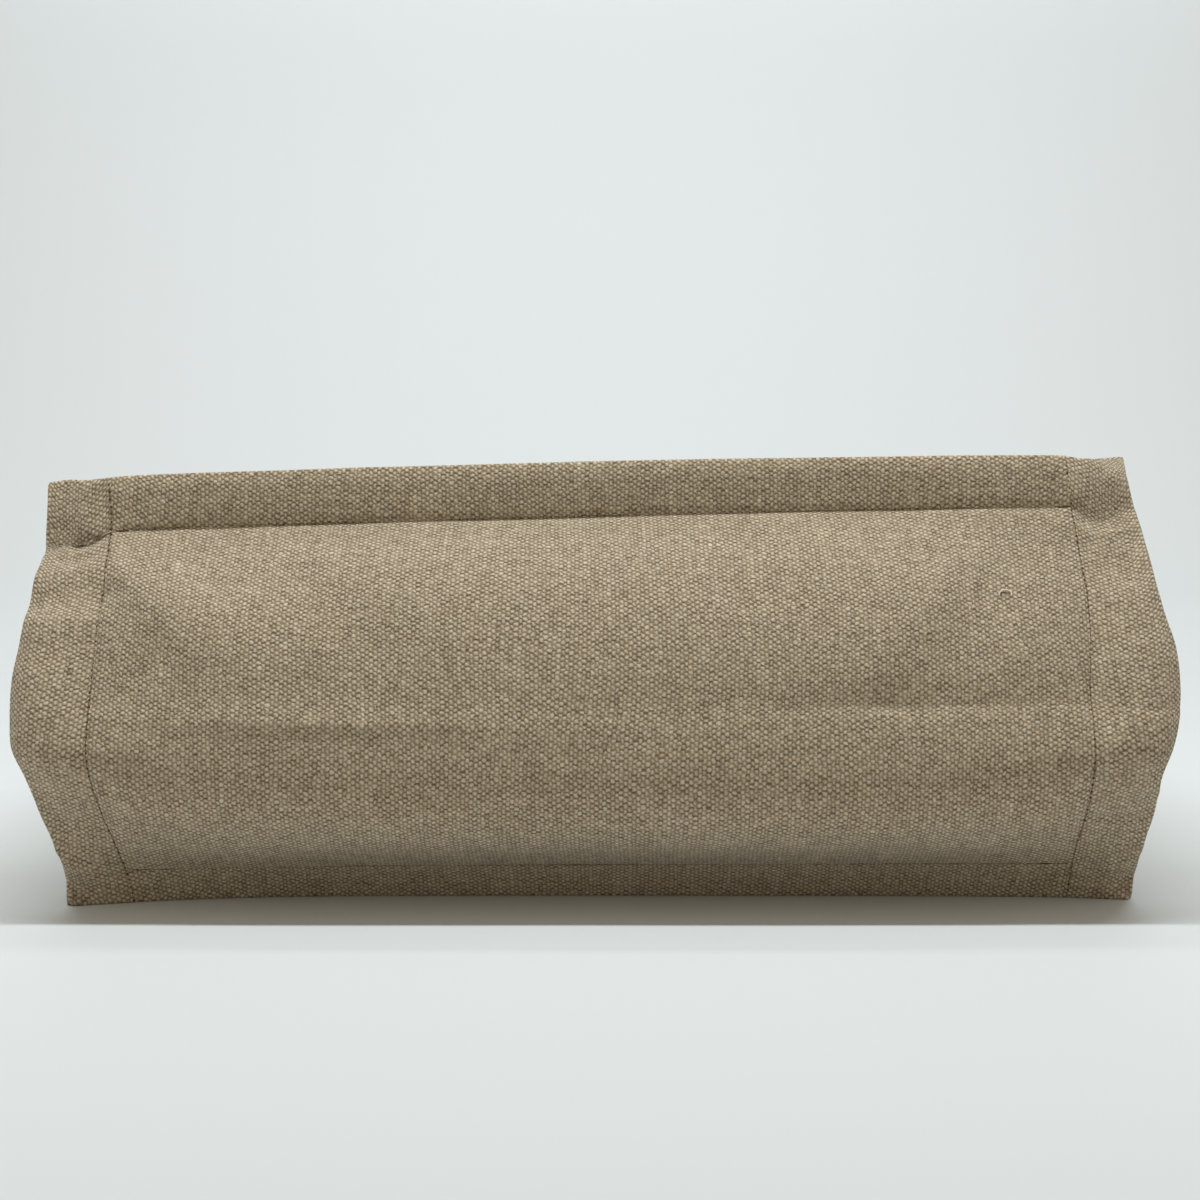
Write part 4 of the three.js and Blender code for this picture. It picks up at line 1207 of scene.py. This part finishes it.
LEFT_SIDE = Side(-1, fold=62, swell=9)
RIGHT_SIDE = Side(1, fold=54, swell=10)


def level_places(inset):
    return spaced(inset - BASE_HALF, BASE_HALF - inset, SEAM_STEP)


def base_seams():
    upright = spaced(FLOOR_BEND + 1, RIDGE - 3.5, SEAM_STEP)
    level = level_places(SEAM_STEP)
    sunk = -SUNK["upright"] * smoothstep(upright, FLOOR_BEND, LOW_SEAM) * flange_ease(upright)
    return [
        on_surface(outer_face, -BASE_HALF, upright, sunk),
        on_surface(outer_face, BASE_HALF, upright, sunk),
        (*on_surface(outer_face, level, TOP_SEAM + 0.4, -SUNK["top"]), TOP_HOLES),
        (*on_surface(outer_face, level, low_seam_line(level), -SUNK["low"]), LOW_HOLES),
    ]


def base_slits():
    """Short dark blobs of painted shade in the gaps where the level seams of the base end at the upright
    ones
    """
    ends = [(x, TOP_SEAM) for x in TOP_ENDS] + [(x, low_seam_line(x)) for x in LOW_ENDS]
    return [on_surface(outer_face, np.array([x - 2, x, x + 2]), run, -SUNK["slit"]) for x, run in ends]


def front_seams():
    along = spaced(8, FRONT_REACH - 1, 2)
    level = level_places(SEAM_STEP)
    hem = FRONT_REACH - HEM_DEPTH + STITCH
    return [
        on_surface(front_body, -BASE_HALF, along, HALF_CLOTH - 0.3),
        on_surface(front_body, BASE_HALF, along, HALF_CLOTH - 0.3),
        on_surface(front_body, level, hem, HALF_CLOTH - 0.2),
        on_surface(behind_flange, level, TOP_SEAM + TURN + 1, 0.0, -1),
    ]


def back_seams():
    level = level_places(3)
    hem = BACK_MOUTH - HEM_DEPTH
    along = spaced(BACK_FLAT_FROM, hem - 1, 2)
    return [
        on_surface(back_body, level, hem + STITCH, HALF_CLOTH + HEM_PLY),
        on_surface(back_body, -BASE_HALF + 3, along, HALF_CLOTH),
        on_surface(back_body, BASE_HALF - 3, along, HALF_CLOTH),
    ]


def side_seams(side):
    runs = spaced(SIDE_TOP - 2, SIDE_LOW + 2, SEAM_STEP)
    along = spaced(14, side.reach - 1, 2)
    low = spaced(50, side.reach - 1, 2)
    hem = side.reach - HEM_DEPTH + STITCH
    return [
        on_surface(lambda outer, run: side.seam(run, outer), 2.0, runs, HALF_CLOTH, -side.sign),
        on_surface(side.under_front, along, 2.5, HALF_CLOTH, -side.sign),
        on_surface(side.on_back, low, 2.5, HALF_CLOTH, side.sign),
        on_surface(side.body, runs, hem, HALF_CLOTH, -side.sign),
    ]


def loose_thread():
    """A pale end of yarn that lies curled on the base panel"""
    turn = np.radians(np.linspace(*LOOSE_TURN, LOOSE_POINTS))
    size = np.linspace(*LOOSE_CURL, LOOSE_POINTS)
    across = LOOSE_AT[0] + size * np.cos(turn) * LOOSE_CURL[0]
    line, normals = on_surface(outer_face, across, LOOSE_AT[1] + size * np.sin(turn), LOOSE_HEIGHT)
    side = np.cross(normals, unit(np.gradient(line, axis=0)))
    ring = np.radians([0, 72, 144, 216, 288])[None, :, None]
    around = side[:, None] * np.cos(ring) + normals[:, None] * np.sin(ring)
    vertices = line[:, None] + around * LOOSE_RADIUS
    faces = tube_faces(len(line), ring.size)
    return mesh_piece("loose_thread", vertices.reshape(-1, 3), faces, [LINT])


def strap_seams(route):
    line, wide, thick = route
    seams = []
    for side in (-1, 1):
        for face in (-1, 1):
            offset = wide * side * (STRAP_WIDTH / 2 - STRAP_SEAM_IN)
            offset = offset + thick * face * (STRAP_THICK / 2 - 0.25)
            seams.append((line + offset, thick * face))
    return seams


# Putting the bag together
def dress(piece, node, stitches):
    """Puts a piece of cloth and its stitching in the place of a solid"""
    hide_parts(node)
    for part in (piece, *stitches):
        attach(part, "root")


base = base_cloth()
stitches = [sewn("base_stitches", base_seams(), base_slits()), loose_thread()]
dress(base, "base_panel", stitches)

front = front_cloth()
stitches = [sewn("front_stitches", front_seams())]
sides = ["side_cloth_left", "side_cloth_right"]
dress(front, "front_panel", stitches)

back = back_cloth()
stitches = [sewn("back_stitches", back_seams())]
dress(back, "back_panel", stitches)

for name, node, side in zip(sides, ("gusset_left", "gusset_right"), (LEFT_SIDE, RIGHT_SIDE)):
    cloth = side_cloth(name, side)
    stitches = [sewn(name.replace("cloth", "stitches"), side_seams(side))]
    dress(cloth, node, stitches)

front_mouth = front_body(FRONT_STRAP["x"][0], FRONT_REACH)[1]


def under_hem(x, out):
    shifts = (-STRAP_WIDTH / 2, 0, STRAP_WIDTH / 2)
    edges = [front_body(x + shift, FRONT_REACH + out)[..., 2] for shift in shifts]
    return np.min(edges, axis=0) - (HALF_CLOTH + HEM_PLY + PLY_GAP + FIN_GAP + STRAP_THICK)


def on_hem(x, out):
    return np.full(np.shape(x), CLOTH + HEM_PLY + PLY_GAP)


for name, node, rows, mouth, height in (
    ("strap_front", "handle_front", FRONT_STRAP, front_mouth, under_hem),
    ("strap_back", "handle_back", BACK_STRAP, BACK_MOUTH, on_hem),
):
    route = strap_route(rows, mouth, height)
    flat = (STRAP_WIDTH * MM, round(float(lengths(route[0])[-1]) * MM, 3))
    strap = strap_cloth(name, route)
    stitches = [sewn(name + "_stitches", strap_seams(route))]
    dress(strap, node, stitches)


# Table, light and camera
TABLE_FRONT, TABLE_HALF_WIDTH = -1.6, 3.0
SWEEP_STARTS, SWEEP_RADIUS = 1.1, 0.7
WALL_TOP = 3.0
COOL = (0.93, 0.98, 1.03)
# The lights' names, places, aims, sizes and power: metres and watts
LIGHTS = (
    ("overhead_strip", (0.0, -0.268, 0.95), (0.0, -0.27, 0.0), (1.1, 0.05), 7.4),
    ("backdrop_light", (0.0, 0.55, 1.7), (0.0, 1.8, 0.7), (2.4, 0.5), 25),
)
ROOM_COLOR, ROOM_STRENGTH = (1.0, 0.93, 0.83, 1), 0.38
LENS, SENSOR = 60.96, 36
CAMERA_PLACE = (0.0013, -1.0312, 0.185)
CAMERA_TILT = 85


def studio_table():
    """A plain pale sweep: a level table that curves up behind the bag"""
    turns = np.radians(range(6, 91, 6))
    line = [(TABLE_FRONT, 0.0), (SWEEP_STARTS, 0.0)]
    line += [(SWEEP_STARTS + SWEEP_RADIUS * math.sin(a), SWEEP_RADIUS * (1 - math.cos(a))) for a in turns]
    line.append((SWEEP_STARTS + SWEEP_RADIUS, WALL_TOP))
    vertices = [(x, y, z) for y, z in line for x in (-TABLE_HALF_WIDTH, TABLE_HALF_WIDTH)]
    faces = [(2 * k, 2 * k + 1, 2 * k + 3, 2 * k + 2) for k in range(len(line) - 1)]
    mesh = bpy.data.meshes.new("studio_table")
    mesh.from_pydata(vertices, [], faces)
    mesh.shade_smooth()
    mesh.materials.append(Recipe("pale_table", roughness=0.6, sheen=0.0).finish(srgb(223, 227, 226)))
    added("studio_table", mesh)


def area_light(name, place, aim, size, power):
    data = bpy.data.lights.new(name, "AREA")
    data.shape = "RECTANGLE"
    data.size, data.size_y = size
    data.energy = power
    data.color = COOL
    lamp = added(name, data)
    lamp.location = place
    lamp.rotation_euler = (Vector(aim) - Vector(place)).to_track_quat("-Z", "Y").to_euler()


studio_table()
for light in LIGHTS:
    area_light(*light)
world = bpy.data.worlds.new("pale_room")
world.use_nodes = True
background = world.node_tree.nodes["Background"].inputs
background["Color"].default_value = ROOM_COLOR
background["Strength"].default_value = ROOM_STRENGTH
bpy.context.scene.world = world
bpy.context.scene.view_settings.view_transform = "Standard"

camera_data = bpy.data.cameras.new("camera")
camera_data.sensor_width = SENSOR
camera_data.lens = LENS
camera_data.clip_start = 0.05
camera = added("camera", camera_data)
camera.location = CAMERA_PLACE
camera.rotation_euler = (math.radians(CAMERA_TILT), 0, 0)
bpy.context.scene.camera = camera
